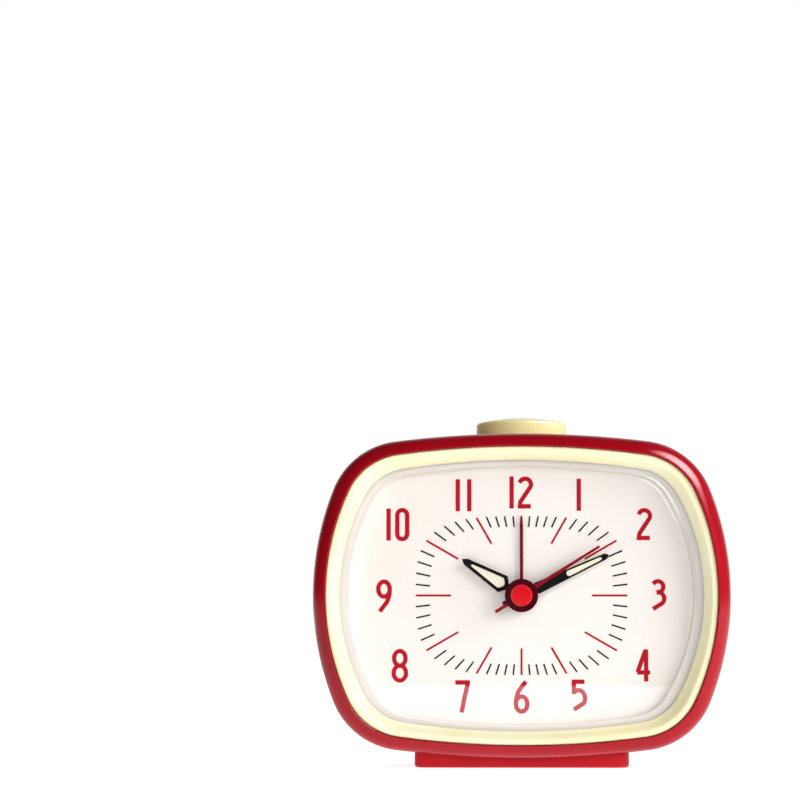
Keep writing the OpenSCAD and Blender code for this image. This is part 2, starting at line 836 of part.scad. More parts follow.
module digit_8() {
  loop([0, 0.53 * glyph_z], glyph_x, 0.53 * glyph_z);
  loop([0, -0.53 * glyph_z], 1.08 * glyph_x, 0.54 * glyph_z);
}

module digit_9() rotate(180) digit_6();

module digit(k) {
  if (k == 0) digit_0();
  if (k == 1) digit_1();
  if (k == 2) digit_2();
  if (k == 3) digit_3();
  if (k == 4) digit_4();
  if (k == 5) digit_5();
  if (k == 6) digit_6();
  if (k == 7) digit_7();
  if (k == 8) digit_8();
  if (k == 9) digit_9();
}

// Places of the numerals 1 to 12 on the dial, from the hands' axis
numeral_at = [
  [14.5, 25.4], [31, 18], [34.6, 0.1], [30.7, -17.6], [14.6, -25.2], [0, -25.7],
  [-14.7, -25.4], [-30.7, -17.7], [-34.7, 0], [-31.1, 17.9], [-14.6, 25.3], [0, 26]
];
// A tall pair of digits sits closer together when it starts with a 1
pair_step = numeral_w / 2 + numeral_stroke;

module numeral(k)
  if (k < 10) digit(k);
  else if (k == 11) {
    translate([-pair_step / 2 + 0.1, 0]) digit_1();
    translate([pair_step / 2 - 0.1, 0]) digit_1();
  }
  else {
    translate([-numeral_w / 2 - 0.45, 0]) digit_1();
    translate([numeral_stroke / 2 + 0.45, 0]) digit(k % 10);
  }

module hour_numerals()
  color("crimson")
    face() slab(print_front, dial_front)
      for (k = [1 : 12]) translate(numeral_at[k - 1]) numeral(k);

// Hands, drawn pointing at 12

module hand(back, angle, bore)
  face() rotate(-angle)
    difference() {
      slab(back - hand_th, back) children();
      post([0, 0], bore + seat_fit, back - hand_th - 1, back + 1);
    }

// A shape from the right half of its outline
module mirrored(half)
  polygon(concat(half, [for (i = [len(half) - 1 : -1 : 0]) [-half[i][0], half[i][1]]]));

tip_w = 0.2;
hour_neck = 4.2;
hour_shoulder = hour_neck + 1.3;
hour_root_w = 1.7;
hour_end_w = 1.75;
hour_tip_l = 1.1;

// The open panel of the hour hand, rounded towards its root
module hour_window() {
  w = hour_w / 2 - 1.2 * frame_w;
  base = hour_neck + 1.25 * frame_w;
  end = hour_len - 4 * frame_w;
  mirrored([
    [0.2 * w, base], [0.66 * w, base + 0.3 * w], [w, base + 0.68 * w],
    [0.2 * w, end], [0.1 * w, end + 0.2 * w]
  ]);
}

module hour_hand()
  color("black")
    hand(hour_hand_back, hour_angle, hour_pipe_r)
      difference() {
        union() {
          circle(r = disc_r - 0.5);
          mirrored([
            [hour_root_w / 2, hour_pipe_r], [hour_root_w / 2, hour_neck], [hour_w / 2, hour_shoulder],
            [hour_end_w / 2, hour_len - hour_tip_l], [tip_w / 2, hour_len]
          ]);
        }
        hour_window();
      }

module lume(back, angle)
  color("lightgoldenrodyellow")
    face() rotate(-angle)
      slab(back - (hand_th + lume_th) / 2, back - (hand_th - lume_th) / 2)
        children();

module hour_lume() lume(hour_hand_back, hour_angle) hour_window();

minute_end_w = 1.55;
minute_tip_l = 0.8;
minute_tail = 5.2;
minute_tail_w = 1.2;
minute_window = [0.54, 0.905];

function minute_half(y) = (minute_w + (minute_end_w - minute_w) * y / minute_len) / 2;

module minute_window_shape() {
  y0 = minute_window[0] * minute_len;
  y1 = minute_window[1] * minute_len;
  w0 = minute_half(y0) - frame_w * 0.62;
  w1 = minute_half(y1) - frame_w * 0.62;
  mirrored([[w0 * 0.4, y0 - w0 * 0.7], [w0, y0], [w1, y1], [w1 * 0.4, y1 + w1]]);
}

module minute_hand()
  color("black")
    hand(minute_hand_back, minute_angle, cannon_r)
      difference() {
        union() {
          circle(r = disc_r - 0.4);
          mirrored([
            [minute_tail_w * 0.3, -minute_tail], [minute_tail_w / 2, minute_tail_w * 0.3 - minute_tail],
            [minute_tail_w / 2, 0], [minute_w * 0.3, disc_r * 0.93], [minute_half(disc_r), disc_r],
            [minute_half(minute_len), minute_len - minute_tip_l], [tip_w / 2, minute_len]
          ]);
        }
        minute_window_shape();
      }

module minute_lume() lume(minute_hand_back, minute_angle) minute_window_shape();

module alarm_hand()
  color("darkred")
    hand(alarm_hand_back, alarm_angle, alarm_pipe_r) {
      circle(r = alarm_pipe_r + 1);
      mirrored([[alarm_w / 2, alarm_pipe_r], [alarm_w / 2, alarm_len * 0.88], [alarm_w / 4, alarm_len]]);
    }

second_root_w = 1.1;
second_tip_w = 0.6;

module second_hand()
  color("red")
    hand(second_hand_back, second_angle, arbor_r) {
      circle(r = disc_r);
      mirrored([
        [second_tip_w * 0.65, -second_tail], [second_root_w / 2, 0], [second_tip_w / 2, second_len]
      ]);
    }

module hub_cap()
  color("red")
    face() translate([0, 0, -cap_back])
      rotate_extrude()
        polygon(concat(
          [[0, 0], [cap_r, 0], [cap_r, cap_h * 0.45]],
          [for (i = [1 : 4]) cap_r * [1 - 0.09 * i, 0] + [0, cap_h * (0.45 + 0.55 * sin(22.5 * i))]],
          [[0, cap_h * 1.12]]
        ));

// Toothed wheels

function inv(a) = tan(a) * 180 / PI - a;

function tooth_half(r, z, m) =
  let (
    rp = z * m / 2,
    rb = rp * cos(pressure_angle),
    at_pitch = (PI * m - backlash) / 4 / rp * 180 / PI
  )
  at_pitch + inv(pressure_angle) - inv(acos(min(1, rb / r)));

function gear_points(z, m, addendum, dedendum, phase) =
  let (
    rp = z * m / 2,
    radii = [rp - dedendum * m, rp - 0.25 * m, rp + 0.4 * addendum * m, rp + addendum * m],
    flank = [for (r = radii) [r, tooth_half(r, z, m)]]
  )
  [for (i = [0 : z - 1])
    let (a = phase + 360 * i / z)
    each concat(
      [for (f = flank) f[0] * [cos(a - f[1]), sin(a - f[1])]],
      [for (k = [3 : -1 : 0]) flank[k][0] * [cos(a + flank[k][1]), sin(a + flank[k][1])]]
    )];

module wheel_2d(z, m, phase) polygon(gear_points(z, m, wheel_addendum, pinion_addendum + tip_room, phase));

module pinion_2d(z, m, phase) polygon(gear_points(z, m, pinion_addendum, wheel_addendum + tip_room, phase));

module pair_2d(z, m, phase) polygon(gear_points(z, m, wheel_addendum, wheel_addendum + tip_room, phase));

// Angle of a wheel whose teeth meet those of a wheel at angle phase, in direction dir from it
function meshed(phase, z, z_next, dir) = dir + 180 + 180 / z_next - (phase - dir) * z / z_next;

function level(k) = first_level + k * level_step;

module on_level(k, spare = 0) slab(level(k) - spare, level(k) + wheel_th + spare) children();

// Small pinions stand a little wider than the wheels they meet
pinion_spare = 0.1;

module alarm_wheel()
  color("whitesmoke")
    face() difference() {
      union() {
        on_level(0) pair_2d(alarm_teeth, motion_module, 0);
        post([0, 0], alarm_pipe_r, alarm_hand_back - hand_th, level(0) + wheel_th);
      }
      post([0, 0], alarm_bore, alarm_hand_back - 2, level(1));
    }

module hour_wheel()
  color("whitesmoke")
    face() difference() {
      union() {
        on_level(1) wheel_2d(hour_teeth, motion_module, 0);
        post([0, 0], hour_pipe_r, hour_hand_back - hand_th, level(1) + wheel_th);
      }
      post([0, 0], hour_bore, hour_hand_back - 2, level(2));
    }

// The cannon pinion carries the minute hand, and the centre wheel turns on its tail
module cannon_pinion()
  color("whitesmoke")
    face() difference() {
      union() {
        on_level(2, pinion_spare) pinion_2d(cannon_teeth, motion_module, 0);
        post([0, 0], cannon_r, minute_hand_back - hand_th, level(3) + wheel_th + 0.3);
      }
      post([0, 0], cannon_bore, minute_hand_back - 2, level(4));
    }

module minute_wheel()
  color("whitesmoke")
    face() translate(minute_at) difference() {
      union() {
        on_level(1, pinion_spare)
          pinion_2d(minute_pinion_teeth, motion_module, meshed(0, hour_teeth, minute_pinion_teeth, 180));
        on_level(2) wheel_2d(minute_teeth, motion_module, meshed(0, cannon_teeth, minute_teeth, 180));
        post([0, 0], stud_r + pipe_wall, level(1), level(2) + wheel_th);
      }
      post([0, 0], stud_r + running_fit, level(0), level(3));
    }

module centre_wheel()
  color("whitesmoke")
    face() difference() {
      on_level(3) wheel_2d(centre_teeth, centre_module, 0);
      post([0, 0], cannon_r + running_fit, level(2), level(4));
    }

module pivots(front, back) {
  post([0, 0], pivot_r, housing_front + 0.3, front);
  post([0, 0], pivot_r, back, housing_back - 0.3);
}

module third_wheel()
  color("whitesmoke")
    face() translate(third_at) {
      on_level(3, pinion_spare)
        pinion_2d(third_pinion_teeth, centre_module, meshed(0, centre_teeth, third_pinion_teeth, 90));
      on_level(4) wheel_2d(third_teeth, motion_module, meshed(0, second_pinion_teeth, third_teeth, 90));
      post([0, 0], stud_r, housing_inner + 0.2, housing_inner_back - 0.2);
      pivots(housing_inner + 0.2, housing_inner_back - 0.2);
    }

module second_wheel()
  color("whitesmoke")
    face() {
      on_level(4, pinion_spare) pinion_2d(second_pinion_teeth, motion_module, 0);
      on_level(5) wheel_2d(second_teeth, step_module, 0);
      post([0, 0], arbor_r, cap_back, housing_inner_back - 0.2);
      post([0, 0], pivot_r, housing_inner_back - 0.2, housing_back - 0.3);
    }

module idler_wheel()
  color("whitesmoke")
    face() translate(idler_at) difference() {
      union() {
        on_level(5, pinion_spare)
          pinion_2d(idler_pinion_teeth, step_module, meshed(0, second_teeth, idler_pinion_teeth, 270));
        on_level(6) wheel_2d(idler_teeth, step_module, 0);
        post([0, 0], idler_stud_r + 0.3, level(5), level(6) + wheel_th);
      }
      post([0, 0], idler_stud_r + running_fit, level(4), level(7));
    }

module rotor()
  color("dimgray")
    face() translate(rotor_at) difference() {
      union() {
        on_level(6, pinion_spare)
          pinion_2d(rotor_teeth, step_module, meshed(0, idler_teeth, rotor_teeth, 270));
        post([0, 0], rotor_stud_r + 0.22, level(6), level(7));
        post([0, 0], magnet_r, level(7) - 0.3, level(7) + wheel_th + 0.5);
      }
      post([0, 0], rotor_stud_r + running_fit, level(5), level(8) + 2);
    }

// The movement's housing

module housing_2d(inset)
  translate([-movement_w / 2 + inset, -movement_down + inset])
    square([movement_w - 2 * inset, movement_up + movement_down - 2 * inset]);

module ears()
  ear_places() slab(ear_front, ear_front + ear_t) square([ear_w, ear_w], center = true);

module movement_front()
  color("gainsboro")
    face() difference() {
      union() {
        slab(housing_front, housing_inner) housing_2d(0);
        slab(housing_inner, housing_split) difference() {
          housing_2d(0);
          housing_2d(housing_wall);
        }
        ears();
        post(minute_at, stud_r, housing_inner, level(2) + wheel_th + 0.2);
      }
      post([0, 0], alarm_pipe_r + running_fit, housing_front - 1, housing_inner + 1);
      post(third_at, pivot_r + running_fit, housing_front - 1, housing_inner + 1);
      for (at = [time_at, alarm_at]) post(at, stud_r + running_fit, housing_front - 1, housing_inner + 1);
      ear_places() post([0, 0], ear_screw_r + 0.15, ear_front - 1, ear_front + ear_t + 1);
    }

// Posts that carry the circuit board and the stator
board_t = level(6) + 0.2;
board_h = 15;
board_w = 36;
board_at = [0, 11.2];
board_post_x = 15;
stator_t = level(7);
stator_th = wheel_th;
stator_post_x = 12.5;

plate_mid = housing_inner_back + plate_th / 2;

module movement_back()
  color("gainsboro")
    face() difference() {
      union() {
        slab(housing_inner_back, housing_back) housing_2d(0);
        slab(housing_split, housing_inner_back) difference() {
          housing_2d(0);
          housing_2d(housing_wall);
        }
        post(idler_at, idler_stud_r, level(5) - 0.2, plate_mid);
        post(rotor_at, rotor_stud_r, level(6) - 0.3, plate_mid);
        for (sx = [-1, 1]) {
          post([sx * board_post_x, board_at[1]], stud_r * 2, board_t + board_th, plate_mid);
          post([sx * stator_post_x, rotor_at[1] + 2], stud_r * 2, stator_t + stator_th, plate_mid);
        }
      }
      for (at = [[0, 0], third_at])
        post(at, pivot_r + running_fit, housing_inner_back - 1, housing_back + 1);
      for (at = [time_at, alarm_at])
        post(at, shaft_r + running_fit, housing_inner_back - 1, housing_back + 1);
    }

module movement_screws()
  color("silver")
    face() ear_places()
      translate([0, 0, -ear_front - ear_t])
        screw(ear_t + ear_front - dial_front - 0.6, ear_screw_r, ear_screw_r * 2, 1);

// The stepping motor and its board

core_th = 1.2;
core_w = 2.4;
leg_w = 3.4;
leg_x = coil_l / 2 + leg_w / 2 + 2.2;
coil_t = stator_t - 2.6;

module stator() {
  gap = 0.6;
  yoke_h = 7.2;
  leg_bottom = coil_at[1] - core_w / 2;
  color("slategray")
    face() slab(stator_t, stator_t + stator_th) difference() {
      union() {
        translate([0, rotor_at[1]]) square([2 * leg_x + leg_w, yoke_h], center = true);
        for (sx = [-1, 1])
          translate([sx * leg_x - leg_w / 2, leg_bottom]) square([leg_w, rotor_at[1] - leg_bottom]);
      }
      translate(rotor_at) circle(r = magnet_r + gap);
    }
}

module coil() {
  flange_r = coil_r + 0.7;
  color("peru")
    face() translate([coil_at[0], coil_at[1], -coil_t]) rotate([0, 90, 0])
      difference() {
        union() {
          translate([0, 0, -coil_l / 2]) cylinder(r = coil_r, h = coil_l);
          for (sz = [-1, 1])
            translate([0, 0, sz * coil_l / 2 - 0.4]) cylinder(r = flange_r, h = 0.8);
        }
        cube([core_th + 2 * seat_fit, core_w + 2 * seat_fit, 2 * coil_l], center = true);
      }
}

module coil_core()
  color("slategray")
    face() {
      translate([0, coil_at[1], -coil_t]) cube([2 * leg_x + leg_w, core_w, core_th], center = true);
      for (sx = [-1, 1])
        slab(coil_t - core_th / 2, stator_t)
          translate([sx * leg_x, coil_at[1]]) square([leg_w, core_w], center = true);
    }

crystal_at = [-9, board_at[1] + 4];
crystal_r = 0.9;
crystal_l = 5.4;

module circuit_board() {
  chip_r = 2.6;
  color("darkgreen")
    face() {
      slab(board_t, board_t + board_th) difference() {
        translate(board_at) square([board_w, board_h], center = true);
        translate(third_at) circle(r = stud_r + 1);
      }
      translate([9, board_at[1] + 2, -board_t])
        intersection() {
          translate([0, 0, -chip_r * 0.72]) sphere(r = chip_r);
          cylinder(r = chip_r, h = chip_r);
        }
    }
}

module quartz_crystal()
  color("silver")
    face() translate([crystal_at[0], crystal_at[1], -board_t + crystal_r + seat_fit])
      rotate([0, 90, 0]) cylinder(r = crystal_r, h = crystal_l);

// The two setting shafts and their knobs

module alarm_arbor()
  color("whitesmoke")
    face() translate(alarm_at) {
      on_level(0) pair_2d(alarm_set_teeth, motion_module, meshed(0, alarm_teeth, alarm_set_teeth, 0));
      post([0, 0], stud_r, housing_front + 0.3, level(0));
      post([0, 0], shaft_r, level(0), total_depth + knob_h - 1);
    }

module time_arbor()
  color("whitesmoke")
    face() translate(time_at) {
      on_level(2, pinion_spare)
        pinion_2d(time_set_teeth, motion_module,
          meshed(meshed(0, cannon_teeth, minute_teeth, 180), minute_teeth, time_set_teeth, 180));
      post([0, 0], stud_r, housing_front + 0.3, level(2));
      post([0, 0], shaft_r, level(2), total_depth + knob_h - 1);
    }

module knob(at) {
  ridges = 24;
  ridge_h = 0.35;
  knob_front = total_depth + 0.5;
  top_round = 0.8;
  color("ivory")
    face() translate(at) difference() {
      union() {
        slab(knob_front, knob_front + knob_h - top_round)
          polygon([for (i = [0 : 4 * ridges - 1])
            let (a = 90 * i / ridges, r = knob_r - (i % 4 < 2 ? 0 : ridge_h)) r * [cos(a), sin(a)]]);
        translate([0, 0, -knob_front - knob_h + top_round])
          rotate([180, 0, 0])
            cylinder(r1 = knob_r - ridge_h, r2 = knob_r - ridge_h - top_round, h = top_round);
      }
      post([0, 0], shaft_r + seat_fit, knob_front - 1, total_depth + knob_h - 0.9);
    }
}

module alarm_knob() knob(alarm_at);

module time_knob() knob(time_at);

// The snooze button and what it presses

module snooze_button() {
  top = case_top + button_rise;
  dome_r = (button_w * button_w / 4 + button_dome * button_dome) / (2 * button_dome);
  stem_bottom = flange_bottom - stem_h;
  color("cornsilk")
    translate([0, button_y, 0]) {
      intersection() {
        translate([0, 0, flange_bottom])
          linear_extrude(top - flange_bottom + 1) polygon(oval(button_w, button_len));
        translate([0, 0, top - dome_r]) sphere(r = dome_r);
      }
      translate([0, 0, flange_bottom])
        linear_extrude(flange_th)
          polygon(oval(button_w + 2 * button_flange, button_len + 2 * button_flange));
      translate([0, 0, stem_bottom]) cylinder(r = stem_r, h = stem_h + flange_th / 2);
    }
}

// A round wire wound about the upright axis, as rings of six points
function coil_ring(r, wire, z, a) =
  [for (k = [0 : 5]) let (b = 60 * k, w = wire / 2, rr = r + w * cos(b))
    [rr * cos(a), rr * sin(a), z + w * sin(b)]];

function helix(r0, r1, wire, turns, z0, z1) =
  [for (i = [0 : 8 * turns]) let (s = i / (8 * turns))
    coil_ring(r0 + (r1 - r0) * s, wire, z0 + wire / 2 + (z1 - z0 - wire) * s, 45 * i)];

module snooze_spring()
  color("silver")
    translate([0, button_y, 0])
      plug(helix(
        spring_r, spring_r, spring_wire, spring_turns, board_top + seat_fit, flange_bottom - seat_fit
      ));

module snooze_board()
  color("darkgreen")
    translate([0, button_y, shelf_top])
      linear_extrude(board_th) square([button_w, button_len], center = true);

module snooze_switch() {
  body_w = 6;
  plunger_r = 1.7;
  color("dimgray")
    translate([0, button_y, board_top]) {
      linear_extrude(switch_h) square([body_w, body_w], center = true);
      cylinder(r = plunger_r, h = switch_h + plunger_h);
    }
}

// The alarm switch on the back

module alarm_switch()
  color("ivory")
    face() translate([switch_x, switch_up]) {
      slab(total_depth + slide_fit, total_depth + slide_fit + switch_cap_h)
        polygon(rounded(switch_w + 3, switch_stem + 1.6, 1));
      slab(cover_floor - switch_body_h / 2, total_depth + slide_fit + 0.5)
        square([switch_w, switch_stem], center = true);
    }

module alarm_switch_body()
  color("dimgray")
    face() translate([switch_x, switch_mid]) difference() {
      slab(cover_floor - switch_body_h, cover_floor)
        square([switch_body_w, switch_slot + 2 * switch_end], center = true);
      slab(cover_floor - switch_body_h / 2 - slide_fit, cover_floor + 1)
        square([switch_w + 2 * slide_fit, switch_slot], center = true);
    }

module buzzer()
  color("black")
    face() difference() {
      post(buzzer_at, buzzer_r, cover_floor - buzzer_h, cover_floor);
      post(buzzer_at, buzzer_r * 0.15, cover_floor - buzzer_h / 2, cover_floor + 1);
    }

// The battery and its bay

module along_bay(x) translate([x, -battery_drop, -battery_t]) rotate([0, 90, 0]) children();

module battery() {
  nub_r = 2.7;
  nub_h = 1.3;
  color("steelblue")
    face() along_bay(battery_x - battery_l / 2) {
      cylinder(r = battery_d / 2, h = battery_l - nub_h);
      cylinder(r = nub_r, h = battery_l);
    }
}

contact_w = 10;

module contact_plate(x)
  along_bay(x)
    translate([-contact_w / 2, -contact_w / 2, 0])
      cube([contact_w, contact_w, contact_th]);

module positive_contact()
  color("silver")
    face() {
      contact_plate(bay_l / 2 - contact_th);
      along_bay(bay_l / 2 - contact_space + 0.1) cylinder(r = 2.4, h = contact_space - contact_th);
    }

module negative_contact()
  color("silver")
    face() {
      contact_plate(-bay_l / 2);
      along_bay(0)
        plug(helix(3.6, 2.6, 0.6, 4, -bay_l / 2 + contact_th - 0.1, -bay_l / 2 + spring_space - 0.1));
    }

module battery_door() {
  lip = door_lip - slide_fit;
  ribs = 5;
  color("firebrick")
    face() translate([0, -battery_drop, 0]) {
      slab(door_front, total_depth) square([bay_l + 2 * lip, bay_h + 2 * lip], center = true);
      for (i = [0 : ribs - 1])
        slab(door_front + door_th / 2, total_depth + door_grip)
          translate([bay_l / 2 - 4 - 2 * i, 0]) square([0.8, bay_h * 0.5], center = true);
    }
}

front_case();
rear_cover();
foot();
foot_screws();
cover_screws();
bezel();
lens();
dial_spacer();
dial();
hour_numerals();
hour_marks();
minute_marks();
alarm_hand();
hour_hand();
hour_lume();
minute_hand();
minute_lume();
second_hand();
hub_cap();
movement_front();
movement_back();
movement_screws();
alarm_wheel();
hour_wheel();
cannon_pinion();
minute_wheel();
centre_wheel();
third_wheel();
second_wheel();
idler_wheel();
rotor();
stator();
coil();
coil_core();
circuit_board();
quartz_crystal();
alarm_arbor();
time_arbor();
alarm_knob();
time_knob();
snooze_button();
snooze_spring();
snooze_board();
snooze_switch();
alarm_switch();
alarm_switch_body();
buzzer();
battery();
battery_door();
positive_contact();
negative_contact();
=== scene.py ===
"""Looks of a red desk alarm clock with a screen-shaped case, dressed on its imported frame.

Sizes are in millimetres and are turned into metres where a mesh is placed; the studio's are in metres. On the
clock's face, u runs to the right, v runs up from the hands' axis, and t runs back from the crown of the rim.
"""

from __future__ import annotations

import json
import logging
import math
from dataclasses import dataclass, field
from enum import Enum
from typing import Any, Iterable, Sequence

import bmesh
import bpy
from mathutils import Euler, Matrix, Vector

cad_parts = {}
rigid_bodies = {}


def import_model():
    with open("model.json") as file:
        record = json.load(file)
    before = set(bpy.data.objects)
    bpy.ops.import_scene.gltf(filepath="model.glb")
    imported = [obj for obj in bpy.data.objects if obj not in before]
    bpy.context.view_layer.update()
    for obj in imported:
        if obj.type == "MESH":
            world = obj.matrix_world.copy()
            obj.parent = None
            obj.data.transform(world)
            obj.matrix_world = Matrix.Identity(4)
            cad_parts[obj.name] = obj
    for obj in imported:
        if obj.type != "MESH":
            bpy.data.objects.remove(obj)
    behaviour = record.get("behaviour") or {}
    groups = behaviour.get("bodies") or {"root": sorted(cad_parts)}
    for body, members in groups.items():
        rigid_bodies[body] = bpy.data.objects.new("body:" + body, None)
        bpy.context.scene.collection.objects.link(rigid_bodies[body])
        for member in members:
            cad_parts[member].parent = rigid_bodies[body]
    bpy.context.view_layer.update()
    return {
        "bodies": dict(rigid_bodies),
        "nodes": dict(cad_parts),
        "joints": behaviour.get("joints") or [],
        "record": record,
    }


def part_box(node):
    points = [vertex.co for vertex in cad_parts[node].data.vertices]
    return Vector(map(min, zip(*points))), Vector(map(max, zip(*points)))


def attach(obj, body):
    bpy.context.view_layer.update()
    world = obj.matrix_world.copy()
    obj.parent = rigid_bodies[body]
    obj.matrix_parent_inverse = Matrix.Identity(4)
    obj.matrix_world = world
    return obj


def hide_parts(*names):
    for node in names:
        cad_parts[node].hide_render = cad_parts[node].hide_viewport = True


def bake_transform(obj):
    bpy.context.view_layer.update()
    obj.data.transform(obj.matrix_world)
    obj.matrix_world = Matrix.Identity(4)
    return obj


LOG = logging.getLogger("alarm_clock")

MM = 0.001
AXIS_HEIGHT = 43.25
FOOT_MID = 23.0

Rgb = tuple[int, int, int]
Pair = tuple[float, float]
Triple = tuple[float, float, float]
Ring = list[Vector]
Piece = bpy.types.Object
Socket = bpy.types.NodeSocket


def at(u: float, v: float, t: float) -> Vector:
    """Place a point of the clock's face in the shared frame.

    Args:
        u: Distance to the right of the hands' axis.
        v: Distance above the hands' axis.
        t: Distance behind the crown of the rim.

    Returns:
        The point in metres.
    """
    return Vector((u, t - FOOT_MID, v + AXIS_HEIGHT)) * MM


def facing(place: Triple, aim: Triple) -> Euler:
    """Give the turn that points a lamp or a card at an aim."""
    return (Vector(aim) - Vector(place)).to_track_quat("-Z", "Y").to_euler()


def linear(colour: Rgb) -> tuple[float, float, float, float]:
    """Turn a display colour into the linear colour that shaders take.

    Args:
        colour: Red, green and blue, each from 0 to 255.

    Returns:
        Linear red, green and blue, with a full alpha.
    """
    shares = [c / 255 for c in colour]
    lin = [s / 12.92 if s <= 0.04045 else ((s + 0.055) / 1.055) ** 2.4 for s in shares]
    return (lin[0], lin[1], lin[2], 1.0)


def quarter_turn(start: Pair, end: Pair, steps: int, rise_first: bool) -> list[Pair]:
    """Round a profile from one point to another by a quarter of an ellipse.

    Args:
        start: First point of the profile, which is left out of the result.
        end: Last point of the profile, which is in the result.
        steps: Number of points.
        rise_first: Whether the second coordinate changes fast at the start.

    Returns:
        The points after start.
    """
    points = []
    for k in range(1, steps + 1):
        a = math.pi / 2 * k / steps
        slow, fast = 1 - math.cos(a), math.sin(a)
        x, y = (slow, fast) if rise_first else (fast, slow)
        points.append((start[0] + (end[0] - start[0]) * x, start[1] + (end[1] - start[1]) * y))
    return points


def eased(start: Pair, corner: Pair, end: Pair, steps: int) -> list[Pair]:
    """Round a profile's corner.

    Args:
        start: Where the rounding starts, which is in the result.
        corner: The corner that is rounded.
        end: Where the rounding ends, which is in the result.
        steps: Number of steps.

    Returns:
        The points of the rounding.
    """
    points = []
    for k in range(steps + 1):
        s = k / steps
        shares = ((1 - s) ** 2, 2 * s * (1 - s), s * s)
        spots = (start, corner, end)
        points.append(tuple(sum(w * p[axis] for w, p in zip(shares, spots)) for axis in (0, 1)))
    return points


def rounded_box(width: float, height: float, radius: float, steps: int) -> list[Pair]:
    """Draw a rectangle with round corners.

    Args:
        width: Size across.
        height: Size up.
        radius: Radius of the corners.
        steps: Number of steps round each corner.

    Returns:
        The outline, anticlockwise from the right.
    """
    x, y = width / 2 - radius, height / 2 - radius
    points = []
    for turn, (cx, cy) in enumerate(((x, y), (-x, y), (-x, -y), (x, -y))):
        for k in range(steps + 1):
            a = math.pi / 2 * (turn + k / steps)
            points.append((cx + radius * math.cos(a), cy + radius * math.sin(a)))
    return points


def oval(width: float, height: float, count: int) -> list[Pair]:
    """Draw an ellipse of count points."""
    turns = (2 * math.pi * k / count for k in range(count))
    return [(width / 2 * math.cos(a), height / 2 * math.sin(a)) for a in turns]


def round_ring(radius: float, count: int) -> list[Pair]:
    """Draw a circle of count points."""
    return oval(2 * radius, 2 * radius, count)


def stack(plan: Sequence[Pair], heights: Iterable[float], x: float = 0.0) -> list[Ring]:
    """Draw a plan at each height above the table, moved to the right by x."""
    return [[Vector((u + x, y, z)) * MM for u, y in plan] for z in heights]


@dataclass(frozen=True)
class Outline:
    """The case's outline, made of arcs that meet smoothly and drawn in by an inset."""

    width: float = 105.0
    height: float = 81.5
    corner: float = 19.4
    least_corner: float = 3.0
    side_bulge: float = 12.6
    top_bulge: float = 5.35
    side_steps: int = 16
    corner_steps: int = 26
    top_steps: int = 18

    def quarter(self, inset: float, lift: float) -> list[Pair]:
        """Draw the upper right quarter.

        Args:
            inset: Distance in from the widest outline.
            lift: Distance that the top is moved back out.

        Returns:
            Points from the right end to the top, both included.
        """
        half_w = self.width / 2 - inset
        half_h = self.height / 2 - inset + lift
        r_corner = max(self.corner - inset, self.least_corner)
        r_side = (half_h**2 + self.side_bulge**2) / (2 * self.side_bulge)
        r_top = (half_w**2 + self.top_bulge**2) / (2 * self.top_bulge)
        c_side = Vector((half_w - r_side, 0.0))
        c_top = Vector((0.0, half_h - r_top))
        span = (c_top - c_side).length
        run = (c_top - c_side) / span
        along = ((r_side - r_corner) ** 2 - (r_top - r_corner) ** 2 + span**2) / (2 * span)
        across = math.sqrt((r_side - r_corner) ** 2 - along**2)
        c_corner = c_side + along * run + across * Vector((-run.y, run.x))
        a_side = math.atan2(c_corner.y - c_side.y, c_corner.x - c_side.x)
        a_top = math.atan2(c_corner.y - c_top.y, c_corner.x - c_top.x)
        arcs = (
            (c_side, r_side, 0.0, a_side, self.side_steps),
            (c_corner, r_corner, a_side, a_top, self.corner_steps),
            (c_top, r_top, a_top, math.pi / 2, self.top_steps),
        )
        points = []
        for centre, radius, a0, a1, steps in arcs:
            for k in range(steps):
                a = a0 + (a1 - a0) * k / steps
                points.append((centre.x + radius * math.cos(a), centre.y + radius * math.sin(a)))
        return points + [(0.0, half_h)]

    def ring(self, inset: float, t: float, lift: float = 0.0) -> Ring:
        """Draw the whole outline at a depth.

        Args:
            inset: Distance in from the widest outline.
            t: Depth behind the crown of the rim.
            lift: Distance that the top and the bottom are moved back out.

        Returns:
            Points in metres, anticlockwise seen from the front.
        """
        q = self.quarter(inset, lift)
        n = len(q) - 1
        flat = q[:n]
        flat += [(-q[n - k][0], q[n - k][1]) for k in range(n)]
        flat += [(-q[k][0], -q[k][1]) for k in range(n)]
        flat += [(q[n - k][0], -q[n - k][1]) for k in range(n)]
        return [at(u, v, t) for u, v in flat]

    def rings(self, profile: Iterable[Sequence[float]]) -> list[Ring]:
        """Draw a ring at each inset, depth and optional lift of a profile."""
        return [self.ring(*point) for point in profile]


class Ends(Enum):
    """How a lofted skin is closed."""

    CAPS = "caps"
    LOOP = "loop"


class Cut(Enum):
    """How one solid changes another."""

    AWAY = "DIFFERENCE"
    ONTO = "UNION"


